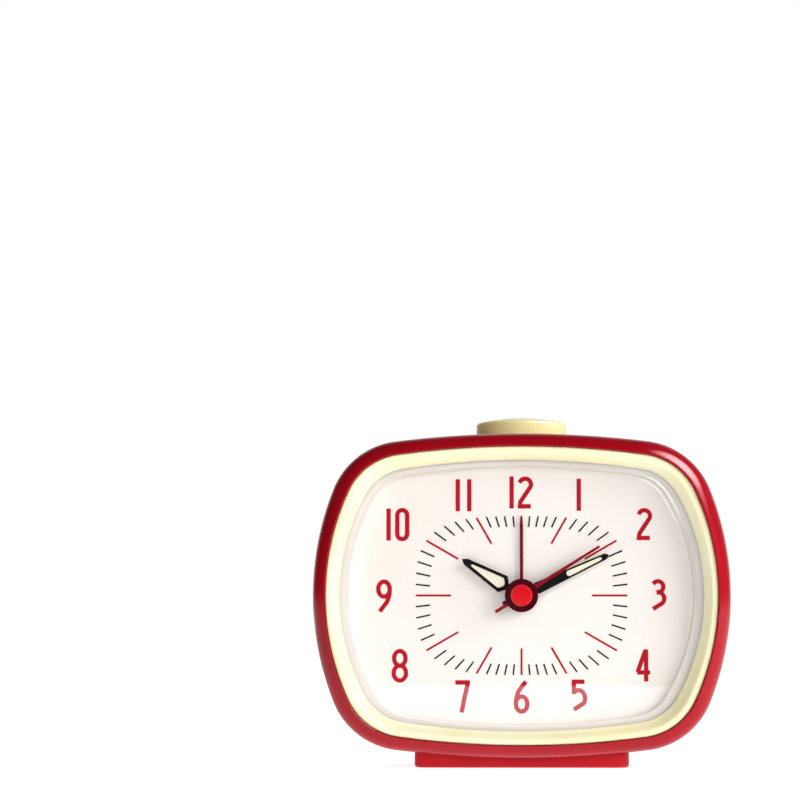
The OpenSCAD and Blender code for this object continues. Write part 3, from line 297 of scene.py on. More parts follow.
class Bench:
    """Mesh work with Blender's own tools."""

    ORDER = "order"
    WELD = 1e-7
    SHARP = math.radians(50)
    EDGE = 35.0
    WIDE_EDGE = 40.0
    BEVEL_STEPS = 3

    @staticmethod
    def clear() -> None:
        """Deselect every object."""
        if bpy.context.object and bpy.context.object.mode != "OBJECT":
            bpy.ops.object.mode_set(mode="OBJECT")
        bpy.ops.object.select_all(action="DESELECT")

    @staticmethod
    def pick(piece: Piece) -> None:
        """Make a piece the only selected and the active object.

        Args:
            piece: The piece to work on.
        """
        Bench.clear()
        piece.select_set(True)
        bpy.context.view_layer.objects.active = piece

    @staticmethod
    def seat(piece: Piece, ring: Ring, first: bool) -> None:
        """Move the selected points of a mesh in edit mode onto a ring.

        Args:
            piece: The piece being modelled.
            ring: Where the points go.
            first: Whether these are the first ring, whose order is then kept on the points.
        """
        mesh = bmesh.from_edit_mesh(piece.data)
        if first:
            order = mesh.verts.layers.int.new(Bench.ORDER)
            for k, point in enumerate(mesh.verts):
                point[order] = k
        order = mesh.verts.layers.int[Bench.ORDER]
        for point in mesh.verts:
            if point.select:
                point.co = ring[point[order]]
        bmesh.update_edit_mesh(piece.data)

    @staticmethod
    def loft(name: str, rings: Sequence[Ring], ends: Ends) -> Piece:
        """Extrude a circle from ring to ring.

        Args:
            name: Name of the new piece.
            rings: Rings of the same number of points.
            ends: How the skin is closed.

        Returns:
            The closed piece, with its faces outwards.
        """
        Bench.clear()
        bpy.ops.mesh.primitive_circle_add(vertices=len(rings[0]), radius=MM)
        piece = bpy.context.object
        piece.name = piece.data.name = name
        bpy.ops.object.mode_set(mode="EDIT")
        bpy.ops.mesh.select_mode(type="VERT")
        bpy.ops.mesh.select_all(action="SELECT")
        Bench.seat(piece, rings[0], True)
        rest = list(rings[1:]) + ([rings[0]] if ends is Ends.LOOP else [])
        for ring in rest:
            bpy.ops.mesh.extrude_region_move(TRANSFORM_OT_translate={"value": (0.0, 0.0, 0.0)})
            Bench.seat(piece, ring, False)
        if ends is Ends.CAPS:
            bpy.ops.mesh.edge_face_add()
            bpy.ops.mesh.select_all(action="DESELECT")
            mesh = bmesh.from_edit_mesh(piece.data)
            mesh.verts.ensure_lookup_table()
            for point in mesh.verts[: len(rings[0])]:
                point.select = True
            mesh.select_flush(True)
            bmesh.update_edit_mesh(piece.data)
            bpy.ops.mesh.edge_face_add()
        bpy.ops.mesh.select_all(action="SELECT")
        bpy.ops.mesh.remove_doubles(threshold=Bench.WELD)
        bpy.ops.mesh.normals_make_consistent(inside=False)
        bpy.ops.object.mode_set(mode="OBJECT")
        piece.data.attributes.remove(piece.data.attributes[Bench.ORDER])
        return piece

    @staticmethod
    def prism(name: str, outline: Sequence[Pair], centre: Pair, depths: Pair) -> Piece:
        """Extrude an outline of the face from one depth to another.

        Args:
            name: Name of the new piece.
            outline: Points round the centre.
            centre: Place of the outline on the face.
            depths: Depths of its front and its back.

        Returns:
            The closed prism.
        """
        rings = [[at(u + centre[0], v + centre[1], t) for u, v in outline] for t in depths]
        return Bench.loft(name, rings, Ends.CAPS)

    @staticmethod
    def modify(piece: Piece, kind: str, **settings: Any) -> None:
        """Apply a modifier to a piece.

        Args:
            piece: The piece that is changed.
            kind: Type of the modifier.
            settings: Its properties by name.
        """
        Bench.pick(piece)
        bpy.ops.object.modifier_add(type=kind)
        modifier = piece.modifiers[-1]
        for name, value in settings.items():
            setattr(modifier, name, value)
        bpy.ops.object.modifier_apply(modifier=modifier.name)

    @staticmethod
    def carve(piece: Piece, tool: Piece, cut: Cut) -> None:
        """Cut a tool away from a piece or weld it on, and remove the tool.

        Args:
            piece: The piece that is changed.
            tool: The closed mesh that changes it.
            cut: What is done.
        """
        Bench.modify(piece, "BOOLEAN", operation=cut.value, solver="MANIFOLD", object=tool)
        mesh = tool.data
        bpy.data.objects.remove(tool)
        bpy.data.meshes.remove(mesh)

    @staticmethod
    def smooth(piece: Piece, degrees: float = EDGE) -> Piece:
        """Shade a piece smooth, but for its sharper edges.

        Args:
            piece: The piece to shade.
            degrees: Least angle of an edge that stays sharp.

        Returns:
            The same piece.
        """
        Bench.pick(piece)
        bpy.ops.object.shade_smooth_by_angle(angle=math.radians(degrees))
        return piece

    @staticmethod
    def soften(piece: Piece, width: float) -> Piece:
        """Round a piece's sharp edges and keep its flats even in their shading.

        Args:
            piece: The piece that is changed.
            width: Width of the rounding.

        Returns:
            The same piece.
        """
        Bench.modify(
            piece,
            "BEVEL",
            width=width * MM,
            segments=Bench.BEVEL_STEPS,
            limit_method="ANGLE",
            angle_limit=Bench.SHARP,
        )
        Bench.smooth(piece)
        Bench.modify(piece, "WEIGHTED_NORMAL", keep_sharp=True)
        return piece


class Sheet:
    """A node tree, with short calls to add, set and link its nodes."""

    def __init__(self, tree: bpy.types.NodeTree) -> None:
        """Take over a node tree."""
        self.tree = tree

    @classmethod
    def start(cls, name: str) -> tuple[bpy.types.Material, Sheet, bpy.types.Node]:
        """Start a material.

        Args:
            name: Name of the material.

        Returns:
            The material, its sheet and its shader.
        """
        material = bpy.data.materials.new(name)
        material.use_nodes = True
        return material, cls(material.node_tree), material.node_tree.nodes["Principled BSDF"]

    def show(self, surface: Socket) -> None:
        """Make a shader the material's surface."""
        self.feed(self.tree.nodes["Material Output"].inputs["Surface"], surface)

    def node(self, kind: str, **settings: Any) -> bpy.types.Node:
        """Add a node.

        Args:
            kind: Type of the node.
            settings: Its properties by name.

        Returns:
            The new node.
        """
        node = self.tree.nodes.new(kind)
        for name, value in settings.items():
            setattr(node, name, value)
        return node

    def feed(self, socket: Socket, value: Any) -> None:
        """Link a socket to another, or set its value.

        Args:
            socket: The input to feed.
            value: An output to link, or a constant.
        """
        if isinstance(value, Socket):
            self.tree.links.new(value, socket)
        else:
            socket.default_value = value

    def fill(self, node: bpy.types.Node, values: dict[str, Any]) -> None:
        """Feed several of a node's sockets."""
        for name, value in values.items():
            self.feed(node.inputs[name], value)

    def place(self) -> Socket:
        """Add the coordinates on the piece itself."""
        return self.node("ShaderNodeTexCoord").outputs["Object"]

    def noise(self, vector: Any, scale: Any, detail: float = 2.0) -> Socket:
        """Add a noise pattern.

        Args:
            vector: Coordinates to draw it on.
            scale: How fine it is.
            detail: Number of its finer layers.

        Returns:
            The pattern's factor.
        """
        node = self.node("ShaderNodeTexNoise")
        self.fill(node, {"Vector": vector, "Scale": scale, "Detail": detail})
        return node.outputs["Fac"]

    def spread(self, value: Any, old: Pair, new: tuple[Any, Any]) -> Socket:
        """Map a value from one range to another, within its limits.

        Args:
            value: The value to map.
            old: Limits of the value.
            new: What the limits become.

        Returns:
            The mapped value.
        """
        node = self.node("ShaderNodeMapRange")
        names = ("Value", "From Min", "From Max", "To Min", "To Max")
        self.fill(node, dict(zip(names, (value, *old, *new))))
        return node.outputs["Result"]

    def mix(self, factor: Any, first: Any, second: Any) -> Socket:
        """Mix two colours.

        Args:
            factor: Share of the second.
            first: What shows at 0.
            second: What shows at 1.

        Returns:
            The mixed colour.
        """
        node = self.node("ShaderNodeMix", data_type="RGBA")
        for index, item in zip((0, 6, 7), (factor, first, second)):
            self.feed(node.inputs[index], item)
        return node.outputs[2]

    def either(self, factor: Any, first: Socket, second: Socket) -> Socket:
        """Mix two shaders.

        Args:
            factor: Share of the second.
            first: What shows at 0.
            second: What shows at 1.

        Returns:
            The mixed shader.
        """
        node = self.node("ShaderNodeMixShader")
        for index, item in enumerate((factor, first, second)):
            self.feed(node.inputs[index], item)
        return node.outputs["Shader"]

    def sum(self, operation: str, first: Any, second: Any) -> Socket:
        """Combine two values.

        Args:
            operation: What is done with them.
            first: The first value.
            second: The second value.

        Returns:
            The result.
        """
        node = self.node("ShaderNodeMath", operation=operation)
        self.feed(node.inputs[0], first)
        self.feed(node.inputs[1], second)
        return node.outputs[0]

    def away(self, vector: Any, place: Triple) -> Socket:
        """Measure how far a point is from a place.

        Args:
            vector: Coordinates of the point.
            place: The place, in metres.

        Returns:
            The distance.
        """
        node = self.node("ShaderNodeVectorMath", operation="DISTANCE")
        self.feed(node.inputs[0], vector)
        self.feed(node.inputs[1], place)
        return node.outputs["Value"]

    def stretch(self, vector: Any, scale: Triple) -> Socket:
        """Stretch coordinates along the axes.

        Args:
            vector: The coordinates.
            scale: Stretch along each axis.

        Returns:
            The stretched coordinates.
        """
        node = self.node("ShaderNodeMapping")
        self.fill(node, {"Vector": vector, "Scale": scale})
        return node.outputs["Vector"]


class Effect(Enum):
    """Shader node groups that several finishes share."""

    SKIN = "moulded_skin"
    INK = "ink_film"
    BRUSHED = "brushed_metal"


class Effects:
    """Builds each shared node group once."""

    GIVEN = {
        "Vector": "NodeSocketVector",
        "Colour": "NodeSocketColor",
        "Shade": "NodeSocketColor",
        "Roughness": "NodeSocketFloat",
        "Grain": "NodeSocketFloat",
    }
    RESULT = {"Colour": "NodeSocketColor", "Roughness": "NodeSocketFloat", "Height": "NodeSocketFloat"}
    USUAL = (0.3, 0.7)
    FULL = (0.0, 1.0)
    CLOUD_SCALE = 45.0
    POLISH_SCALE = 210.0
    SHEEN_SCALE = 900.0
    CLOUD_LIMITS = (0.35, 0.65)
    STREAK_STRETCH = (0.08, 1.0, 1.0)

    def __init__(self) -> None:
        """Build all the groups."""
        recipes = {Effect.SKIN: self.skin, Effect.INK: self.ink, Effect.BRUSHED: self.brushed}
        self.groups = {effect: self.group(effect, recipe) for effect, recipe in recipes.items()}

    def group(self, effect: Effect, recipe: Any) -> bpy.types.NodeTree:
        """Build a group from its recipe.

        Args:
            effect: The group to build.
            recipe: Gives the tone, the polish and the height from coordinates and a grain.

        Returns:
            The new group.
        """
        tree = bpy.data.node_groups.new(effect.value, "ShaderNodeTree")
        for way, sockets in (("INPUT", self.GIVEN), ("OUTPUT", self.RESULT)):
            for name, kind in sockets.items():
                tree.interface.new_socket(name, in_out=way, socket_type=kind)
        sheet = Sheet(tree)
        given = sheet.node("NodeGroupInput").outputs
        tone, polish, height = recipe(sheet, given["Vector"], given["Grain"])
        results = {
            "Colour": sheet.mix(tone, given["Colour"], given["Shade"]),
            "Roughness": sheet.sum("MULTIPLY", given["Roughness"], polish),
            "Height": height,
        }
        sheet.fill(sheet.node("NodeGroupOutput"), results)
        return tree

    def skin(self, sheet: Sheet, vector: Socket, grain: Socket) -> tuple[Socket, Socket, Socket]:
        """Draw moulded plastic: slow clouds of shade, fine orange peel and uneven polish.

        Args:
            sheet: Node tree of the group.
            vector: Coordinates on the piece.
            grain: How fine the grain is.

        Returns:
            The tone between the two colours, the polish and the height.
        """
        clouds = sheet.spread(sheet.noise(vector, self.CLOUD_SCALE, 3.0), self.CLOUD_LIMITS, self.FULL)
        polish = sheet.spread(sheet.noise(vector, self.POLISH_SCALE, 4.0), self.USUAL, (0.85, 1.18))
        return clouds, polish, sheet.noise(vector, grain, 2.0)

    def ink(self, sheet: Sheet, vector: Socket, grain: Socket) -> tuple[Socket, Socket, Socket]:
        """Draw a printed or painted film: fine mottling and a soft uneven sheen.

        Args:
            sheet: Node tree of the group.
            vector: Coordinates on the piece.
            grain: How fine the grain is.

        Returns:
            The tone between the two colours, the polish and the height.
        """
        mottle = sheet.spread(sheet.noise(vector, grain, 4.0), self.USUAL, self.FULL)
        sheen = sheet.spread(sheet.noise(vector, self.SHEEN_SCALE, 2.0), self.USUAL, (0.9, 1.1))
        return mottle, sheen, mottle

    def brushed(self, sheet: Sheet, vector: Socket, grain: Socket) -> tuple[Socket, Socket, Socket]:
        """Draw drawn or brushed metal: long fine streaks in shade, polish and height.

        Args:
            sheet: Node tree of the group.
            vector: Coordinates on the piece.
            grain: How fine the grain is.

        Returns:
            The tone between the two colours, the polish and the height.
        """
        streaks = sheet.noise(sheet.stretch(vector, self.STREAK_STRETCH), grain, 5.0)
        tone = sheet.spread(streaks, self.USUAL, self.FULL)
        return tone, sheet.spread(streaks, self.USUAL, (0.75, 1.3)), streaks


@dataclass(frozen=True)
class Finish:
    """An opaque finish: its colours, polish and relief."""

    name: str
    effect: Effect
    colour: Rgb
    shade: Rgb
    roughness: float
    grain: float
    relief: float
    metallic: float = 0.0
    coat: float = 0.0
    specular: float = 0.5
    glow_depth: float = 0.0
    glow_shares: Triple = (1.0, 0.95, 0.85)
    coat_roughness: float = 0.04

    def make(self, effects: Effects) -> bpy.types.Material:
        """Build the finish as a material.

        Args:
            effects: The shared node groups.

        Returns:
            The new material.
        """
        material, sheet, shader = Sheet.start(self.name + "_finish")
        group = sheet.node("ShaderNodeGroup", node_tree=effects.groups[self.effect])
        given = (sheet.place(), linear(self.colour), linear(self.shade), self.roughness, self.grain)
        sheet.fill(group, dict(zip(Effects.GIVEN, given)))
        bump = sheet.node("ShaderNodeBump")
        sheet.fill(bump, {"Strength": 1.0, "Distance": self.relief * MM, "Height": group.outputs["Height"]})
        looks = {
            "Base Color": group.outputs["Colour"],
            "Roughness": group.outputs["Roughness"],
            "Normal": bump.outputs["Normal"],
            "Metallic": self.metallic,
            "Specular IOR Level": self.specular,
            "Coat Weight": self.coat,
            "Coat Roughness": self.coat_roughness,
        }
        if self.glow_depth:
            looks["Subsurface Weight"] = 1.0
            looks["Subsurface Radius"] = self.glow_shares
            looks["Subsurface Scale"] = self.glow_depth * MM
        sheet.fill(shader, looks)
        return material


@dataclass(frozen=True)
class BossedFinish(Finish):
    """A painted hand whose round boss is darker than its blade."""

    boss: Rgb = (0, 0, 0)
    boss_radius: float = 1.0
    boss_edge: float = 1.02

    def make(self, effects: Effects) -> bpy.types.Material:
        """Build the finish as a material.

        Args:
            effects: The shared node groups.

        Returns:
            The new material.
        """
        material = super().make(effects)
        sheet = Sheet(material.node_tree)
        paint = material.node_tree.nodes["Principled BSDF"].inputs["Base Color"]
        blade = paint.links[0].from_socket
        flat = sheet.stretch(sheet.place(), (1.0, 0.0, 1.0))
        reach = sheet.away(flat, (0.0, 0.0, AXIS_HEIGHT * MM))
        edge = self.boss_radius * MM
        on_boss = sheet.spread(reach, (edge, self.boss_edge * edge), (1.0, 0.0))
        sheet.feed(paint, sheet.mix(on_boss, blade, linear(self.boss)))
        return material


@dataclass(frozen=True)
class ClearFinish:
    """Clear moulded plastic that lets the lamps through."""

    name: str
    tint: Rgb
    roughness: float
    ior: float = 1.04
    gloss_ior: float = 1.5
    smear_stretch: Triple = (1.0, 1.0, 2.5)
    smear_scale: float = 60.0
    smear_limits: Pair = (0.45, 0.75)

    def make(self) -> bpy.types.Material:
        """Build the finish as a material.

        Returns:
            The new material.
        """
        material, sheet, shader = Sheet.start(self.name + "_finish")
        place = sheet.stretch(sheet.place(), self.smear_stretch)
        smears = sheet.noise(place, self.smear_scale, 5.0)
        looks = {
            "Coat Roughness": sheet.spread(smears, self.smear_limits, (0.0, self.roughness)),
            "Roughness": 0.0,
            "Base Color": linear(self.tint),
            "Transmission Weight": 1.0,
            "IOR": self.ior,
            "Coat Weight": 1.0,
            "Coat IOR": self.gloss_ior,
        }
        sheet.fill(shader, looks)
        lamps = sheet.node("ShaderNodeBsdfTransparent")
        sheet.feed(lamps.inputs["Color"], linear(self.tint))
        shadow = sheet.node("ShaderNodeLightPath").outputs["Is Shadow Ray"]
        sheet.show(sheet.either(shadow, shader.outputs["BSDF"], lamps.outputs["BSDF"]))
        return material


class Palette:
    """Every finish of the clock, named by the record's material slot where it is a slot's own."""

    FINISHES = (
        Finish("red_shell", Effect.SKIN, (158, 10, 26), (148, 8, 22), 0.13, 1500.0, 0.004, specular=0.25),
        # Painted light: the foot is the shell's red plastic with a satin polish, painted a brighter red than
        # the shell to stand in for the floor's light on it in the case's shade.
        Finish("satin_foot_painted_light", Effect.SKIN, (174, 16, 28), (165, 13, 25), 0.5, 1300.0, 0.006, specular=0.2),
        Finish(
            "cream_trim", Effect.SKIN, (255, 243, 210), (253, 237, 195), 0.2, 1700.0, 0.004, glow_depth=0.7
        ),
        # Painted shade: the button is the trim's cream plastic, painted a deeper yellow than the trim to
        # stand in for the golden shade it takes on under the lamps.
        Finish(
            "button_cream_painted_shade", Effect.SKIN, (255, 239, 188), (254, 233, 172), 0.2, 1500.0, 0.004, glow_depth=1.0
        ),
        Finish("ivory_dial", Effect.SKIN, (250, 246, 239), (247, 242, 233), 0.5, 2600.0, 0.004),
        Finish("red_print", Effect.INK, (189, 25, 42), (174, 19, 35), 0.45, 2400.0, 0.002, specular=0.1),
        Finish("dark_print", Effect.INK, (54, 42, 40), (38, 30, 30), 0.45, 2400.0, 0.002, specular=0.1),
        Finish("black_hand", Effect.INK, (10, 9, 10), (18, 16, 16), 0.3, 1800.0, 0.002, specular=0.15),
        BossedFinish(
            "red_hand", Effect.INK, (148, 20, 38), (134, 16, 33), 0.3, 1800.0, 0.002,
            specular=0.08, boss=(68, 3, 14), boss_radius=4.22,
        ),
        # Painted shade: the alarm hand is the second hand's red, painted darker to stand in for the shade it
        # lies in under the other hands.
        Finish("dark_red_hand", Effect.INK, (122, 17, 31), (108, 13, 26), 0.32, 1800.0, 0.002, specular=0.2),
        Finish("lume", Effect.INK, (250, 245, 224), (243, 236, 206), 0.6, 3200.0, 0.006),
        Finish(
            "red_cap", Effect.SKIN, (224, 16, 32), (216, 13, 28), 0.1, 1500.0, 0.001, coat=1.0, specular=0.9
        ),
        Finish("housing", Effect.SKIN, (226, 225, 220), (214, 213, 207), 0.45, 1600.0, 0.006),
        Finish("wheel", Effect.SKIN, (238, 237, 231), (226, 224, 216), 0.4, 1900.0, 0.003),
        Finish("magnet", Effect.BRUSHED, (92, 92, 96), (70, 70, 74), 0.45, 1400.0, 0.002, metallic=0.8),
        Finish(
            "iron_plate", Effect.BRUSHED, (176, 176, 178), (150, 150, 153), 0.35, 1500.0, 0.002, metallic=1.0
        ),
        Finish("copper_wire", Effect.BRUSHED, (196, 116, 62), (160, 84, 40), 0.3, 2600.0, 0.03, metallic=1.0),
        Finish("board", Effect.SKIN, (30, 96, 52), (22, 78, 42), 0.38, 2200.0, 0.004, coat=0.3),
        Finish("steel", Effect.BRUSHED, (206, 206, 208), (178, 178, 182), 0.28, 1700.0, 0.002, metallic=1.0),
        Finish("black_part", Effect.SKIN, (28, 28, 30), (20, 20, 22), 0.42, 1500.0, 0.006),
        Finish("cell", Effect.INK, (58, 72, 92), (50, 62, 82), 0.3, 1200.0, 0.002, coat=0.4),
    )
    LENS = ClearFinish("clear_lens", (253, 252, 253), 0.03)

    def __init__(self) -> None:
        """Build every material."""
        effects = Effects()
        self.materials = {finish.name: finish.make(effects) for finish in self.FINISHES}
        self.materials[self.LENS.name] = self.LENS.make()

    def dress(self, piece: Piece, finish: str) -> None:
        """Give a piece one finish."""
        piece.data.materials.clear()
        piece.data.materials.append(self.materials[finish])


@dataclass
class Dresser:
    """Sets each new piece on its body with its finish."""

    palette: Palette

    def fit(self, piece: Piece, body: str, slot: str, *nodes: str, finish: str = "") -> None:
        """Dress a piece and make it ride.

        Args:
            piece: The finished mesh.
            body: The body that it moves with.
            slot: The record's material slot.
            nodes: The CAD nodes that it stands for.
            finish: A finish other than the slot's own.
        """
        self.palette.dress(piece, finish or slot)
        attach(piece, body)
        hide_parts(*nodes)
        LOG.info("%s on %s: %d faces", piece.name, body, len(piece.data.polygons))

    def span(self, piece: Piece, bodies: tuple[str, str], slot: str, node: str) -> None:
        """Dress a piece that reaches upwards from one body to another, and leave it baked where it stands.

        Args:
            piece: The finished mesh.
            bodies: The bodies that its foot and its top meet, which are only logged.
            slot: The record's material slot.
            node: The CAD node that it stands for.
        """
        self.palette.dress(piece, slot)
        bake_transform(piece)
        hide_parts(node)
        LOG.info("%s from %s to %s: %d faces", piece.name, *bodies, len(piece.data.polygons))

    def keep(self, frame: dict[str, Any]) -> None:
        """Dress the CAD nodes that stay.

        Args:
            frame: What the frame's load gave.
        """
        for part in frame["record"]["subparts"]:
            node = frame["nodes"][part["node"]]
            if not node.hide_render:
                self.palette.dress(node, part["material_slot"])


@dataclass
class Case:
    """The red shells and the foot."""

    outline: Outline = field(default_factory=Outline)
    front_depth: float = 35.0
    total_depth: float = 49.0
    wall: float = 2.2
    draft: float = 1.6
    rim_width: float = 3.2
    rim_lean: float = math.radians(22.0)
    rim_edge: float = 0.25
    rim_edge_steps: int = 8
    rim_steps: int = 24
    side_steps: int = 14
    inside_steps: int = 6
    cover_round: float = 8.5
    cover_steps: int = 16
    cover_inside_steps: int = 10
    cover_flat: float = 0.6
    tongue_gap: float = 0.1
    tongue_reach: float = 2.0
    tongue_wall: float = 1.4
    ledge: Pair = (10.1, 12.1)
    ledge_inset: float = 9.1
    seam: float = 0.25
    button_hole: Pair = (23.6, 17.6)
    button_hole_heights: Pair = (30.0, 45.0)
    button_hole_points: int = 96
    button_t: float = 23.0
    screws: Pair = (35.5, 16.0)
    screw_seat: float = 39.0
    screw_hole: float = 1.55
    screw_points: int = 32
    screw_way: Pair = (34.0, 48.0)
    head_r: float = 2.9
    head_points: int = 48
    pillar_r: float = 3.9
    pillar_points: int = 48
    shaft_x: float = 15.0
    shaft_hole: float = 1.55
    shaft_points: int = 40
    bay: Pair = (59.1, 15.8)
    bay_corner: float = 0.6
    bay_steps: int = 3
    bay_drop: float = 19.5
    bay_floor: float = 32.4
    bay_wall: float = 1.5
    door_lip: float = 1.4
    door_seat: float = 47.4
    slot_at: Pair = (29.0, 4.0)
    slot_size: Triple = (3.6, 8.6, 0.4)
    slot_steps: int = 4
    sound_v: float = 18.5
    sound_w: float = 10.45
    sound_gap: float = 3.0
    sound_fit: float = 0.01
    sound_steps: int = 6
    sound_slots: tuple[int, ...] = (-2, -1, 0, 1, 2)
    past: float = 1.0
    foot: Triple = (54.0, 34.0, 3.0)
    foot_edge: float = 0.8
    foot_edge_steps: int = 6
    foot_corner_steps: int = 10
    foot_corner_share: float = 0.5
    foot_top: float = 12.7
    foot_fit: float = 0.02
    foot_fit_steps: int = 12
    foot_screw_x: float = 18.0
    foot_head_top: float = 1.5
    foot_way_top: float = 12.0

    @property
    def rim_radius(self) -> float:
        """Give the radius on which the rim rounds over."""
        return (self.rim_width - self.rim_edge) / (1 - math.sin(self.rim_lean))

    @property
    def rim_round(self) -> float:
        """Give the depth at which the rim has become the side."""
        return self.rim_radius * math.cos(self.rim_lean)

    def inset(self, t: float) -> float:
        """Give how far the side has drawn in at a depth."""
        return self.draft * (max(t - self.rim_round, 0.0) / (self.front_depth - self.rim_round)) ** 2

    def rim(self) -> list[Pair]:
        """Draw the rim's profile from the bezel over its crown to the side.

        Returns:
            Insets and depths.
        """
        lean, radius = self.rim_lean, self.rim_radius
        edge_r = self.rim_edge / (1 + math.sin(lean))
        middle = (self.rim_width - edge_r, edge_r * math.cos(lean))
        points = []
        for k in range(self.rim_edge_steps):
            a = (math.pi / 2 + lean) * k / self.rim_edge_steps
            points.append((middle[0] + edge_r * math.cos(a), max(middle[1] - edge_r * math.sin(a), 0.0)))
        for k in range(self.rim_steps + 1):
            a = lean + (math.pi / 2 - lean) * k / self.rim_steps
            points.append((radius * (1 - math.sin(a)), radius * (math.cos(lean) - math.cos(a))))
        return points

    def side(self, end: float) -> list[Pair]:
        """Draw the side's profile from behind the rim to a depth.

        Args:
            end: Depth at which it stops.

        Returns:
            Insets and depths.
        """
        reach, steps = end - self.rim_round, self.side_steps
        depths = [self.rim_round + reach * k / steps for k in range(1, steps + 1)]
        return [(self.inset(t), t) for t in depths]

    def front_shell(self) -> Piece:
        """Build the front case with the hole for its button.

        Returns:
            The front case.
        """
        steps = self.inside_steps
        back, front = self.front_depth, self.ledge[1]
        inner = [back + (front - back) * k / steps for k in range(steps + 1)]
        profile = [(self.rim_width, self.ledge[0])]
        profile += self.rim() + self.side(back - self.seam)
        profile += [(self.draft + self.seam, back)]
        profile += [(self.inset(t) + self.wall, t) for t in inner]
        profile += [(self.ledge_inset, self.ledge[1]), (self.ledge_inset, self.ledge[0])]
        shell = Bench.loft("front_shell", self.outline.rings(profile), Ends.LOOP)
        plan = oval(*self.button_hole, self.button_hole_points)
        rings = [[at(x, h, self.button_t + y) for x, y in plan] for h in self.button_hole_heights]
        Bench.carve(shell, Bench.loft("button_hole", rings, Ends.CAPS), Cut.AWAY)
        return Bench.smooth(shell)

    def back_profile(self) -> list[Pair]:
        """Draw the cover's outside from the seam to the flat of its back.

        Returns:
            Insets and depths.
        """
        start = (self.draft, self.total_depth - self.cover_round)
        end = (self.draft + self.cover_round, self.total_depth)
        points = [(self.draft + self.seam, self.front_depth), (self.draft, self.front_depth + self.seam)]
        points += [start] + quarter_turn(start, end, self.cover_steps, True)
        return points + [(end[0] + self.cover_flat, end[1])]

    def cover_inside(self) -> list[Pair]:
        """Draw the cover's inside from its flat floor to the tongue that sits in the front case.

        Returns:
            Insets and depths.
        """
        floor = self.total_depth - self.wall
        tongue = (self.draft + self.wall + self.tongue_gap, self.front_depth - self.tongue_reach)
        reach = self.cover_round - self.wall
        start = (tongue[0] + self.tongue_wall + reach, floor)
        end = (tongue[0] + self.tongue_wall, floor - reach)
        points = [start] + quarter_turn(start, end, self.cover_inside_steps, False)
        return points + [(end[0], tongue[1]), tongue, (tongue[0], self.front_depth)]

    def cover_shell(self) -> Piece:
        """Build the rear cover with its bay, pillars, holes and slots.

        Returns:
            The rear cover.
        """
        profile = self.cover_inside() + self.back_profile()
        shell = Bench.loft("cover_shell", self.outline.rings(profile), Ends.CAPS)
        inside, behind = self.total_depth - self.wall / 2, self.total_depth + self.past
        through = (self.front_depth, behind)
        screws = [(sx * self.screws[0], sv * self.screws[1]) for sx in (-1, 1) for sv in (-1, 1)]

        def bay_box(name: str, margin: float, depths: Pair) -> Piece:
            """Draw a box round the battery's bay.

            Args:
                name: Name of the box.
                margin: How far it reaches past the bay on each side.
                depths: Depths of its front and its back.

            Returns:
                The box.
            """
            width, height = (side + 2 * margin for side in self.bay)
            box = rounded_box(width, height, self.bay_corner, self.bay_steps)
            return Bench.prism(name, box, (0.0, -self.bay_drop), depths)

        added = [bay_box("bay_walls", self.bay_wall, (self.bay_floor - self.bay_wall, inside))]
        pillar = round_ring(self.pillar_r, self.pillar_points)
        added += [Bench.prism("pillar", pillar, place, (self.front_depth, inside)) for place in screws]
        holes = [bay_box("bay", 0.0, (self.bay_floor, behind))]
        holes.append(bay_box("door_seat", self.door_lip, (self.door_seat, behind)))
        screw = round_ring(self.screw_hole, self.screw_points)
        head = round_ring(self.head_r, self.head_points)
        for place in screws:
            holes.append(Bench.prism("screw_way", screw, place, self.screw_way))
            holes.append(Bench.prism("head_way", head, place, (self.screw_seat, behind)))
        shaft = round_ring(self.shaft_hole, self.shaft_points)
        holes += [Bench.prism("shaft_way", shaft, (sx * self.shaft_x, 0.0), through) for sx in (-1, 1)]
        switch = rounded_box(*self.slot_size, self.slot_steps)
        holes.append(Bench.prism("switch_way", switch, self.slot_at, through))
        gap = self.sound_gap
        sound = rounded_box(self.sound_w, gap / 2, gap / 4 - self.sound_fit, self.sound_steps)
        for k in self.sound_slots:
            place = (0.0, self.sound_v + k * gap)
            holes.append(Bench.prism("sound_slot", sound, place, through))
        for tools, cut in ((added, Cut.ONTO), (holes, Cut.AWAY)):
            for tool in tools:
                Bench.carve(shell, tool, cut)
        return Bench.smooth(shell)

    def foot_block(self) -> Piece:
        """Build the foot, hollowed on top to fit the case.

        Returns:
            The foot.
        """
        width, depth, radius = self.foot
        start = (self.foot_edge, 0.0)
        levels = [start] + quarter_turn(start, (0.0, self.foot_edge), self.foot_edge_steps, False)
        levels += [(0.0, self.foot_top)]
        rings = []
        for inset, z in levels:
            corner = radius - inset * self.foot_corner_share
            plan = rounded_box(width - 2 * inset, depth - 2 * inset, corner, self.foot_corner_steps)
            rings += stack(plan, (z,))
        block = Bench.loft("foot_block", rings, Ends.CAPS)
        grown = [(i - self.foot_fit, t) for i, t in self.rim() + self.side(self.front_depth)]
        start = (self.draft - self.foot_fit, self.front_depth)
        end = (self.draft + self.cover_round, self.total_depth)
        grown += quarter_turn(start, end, self.foot_fit_steps, True)
        Bench.carve(block, Bench.loft("case_body", self.outline.rings(grown), Ends.CAPS), Cut.AWAY)
        for sx in (-1, 1):
            for hole, top in ((self.head_r, self.foot_head_top), (self.screw_hole, self.foot_way_top)):
                rings = stack(round_ring(hole, self.head_points), (-self.past, top), sx * self.foot_screw_x)
                Bench.carve(block, Bench.loft("foot_screw_way", rings, Ends.CAPS), Cut.AWAY)
        return Bench.smooth(block)

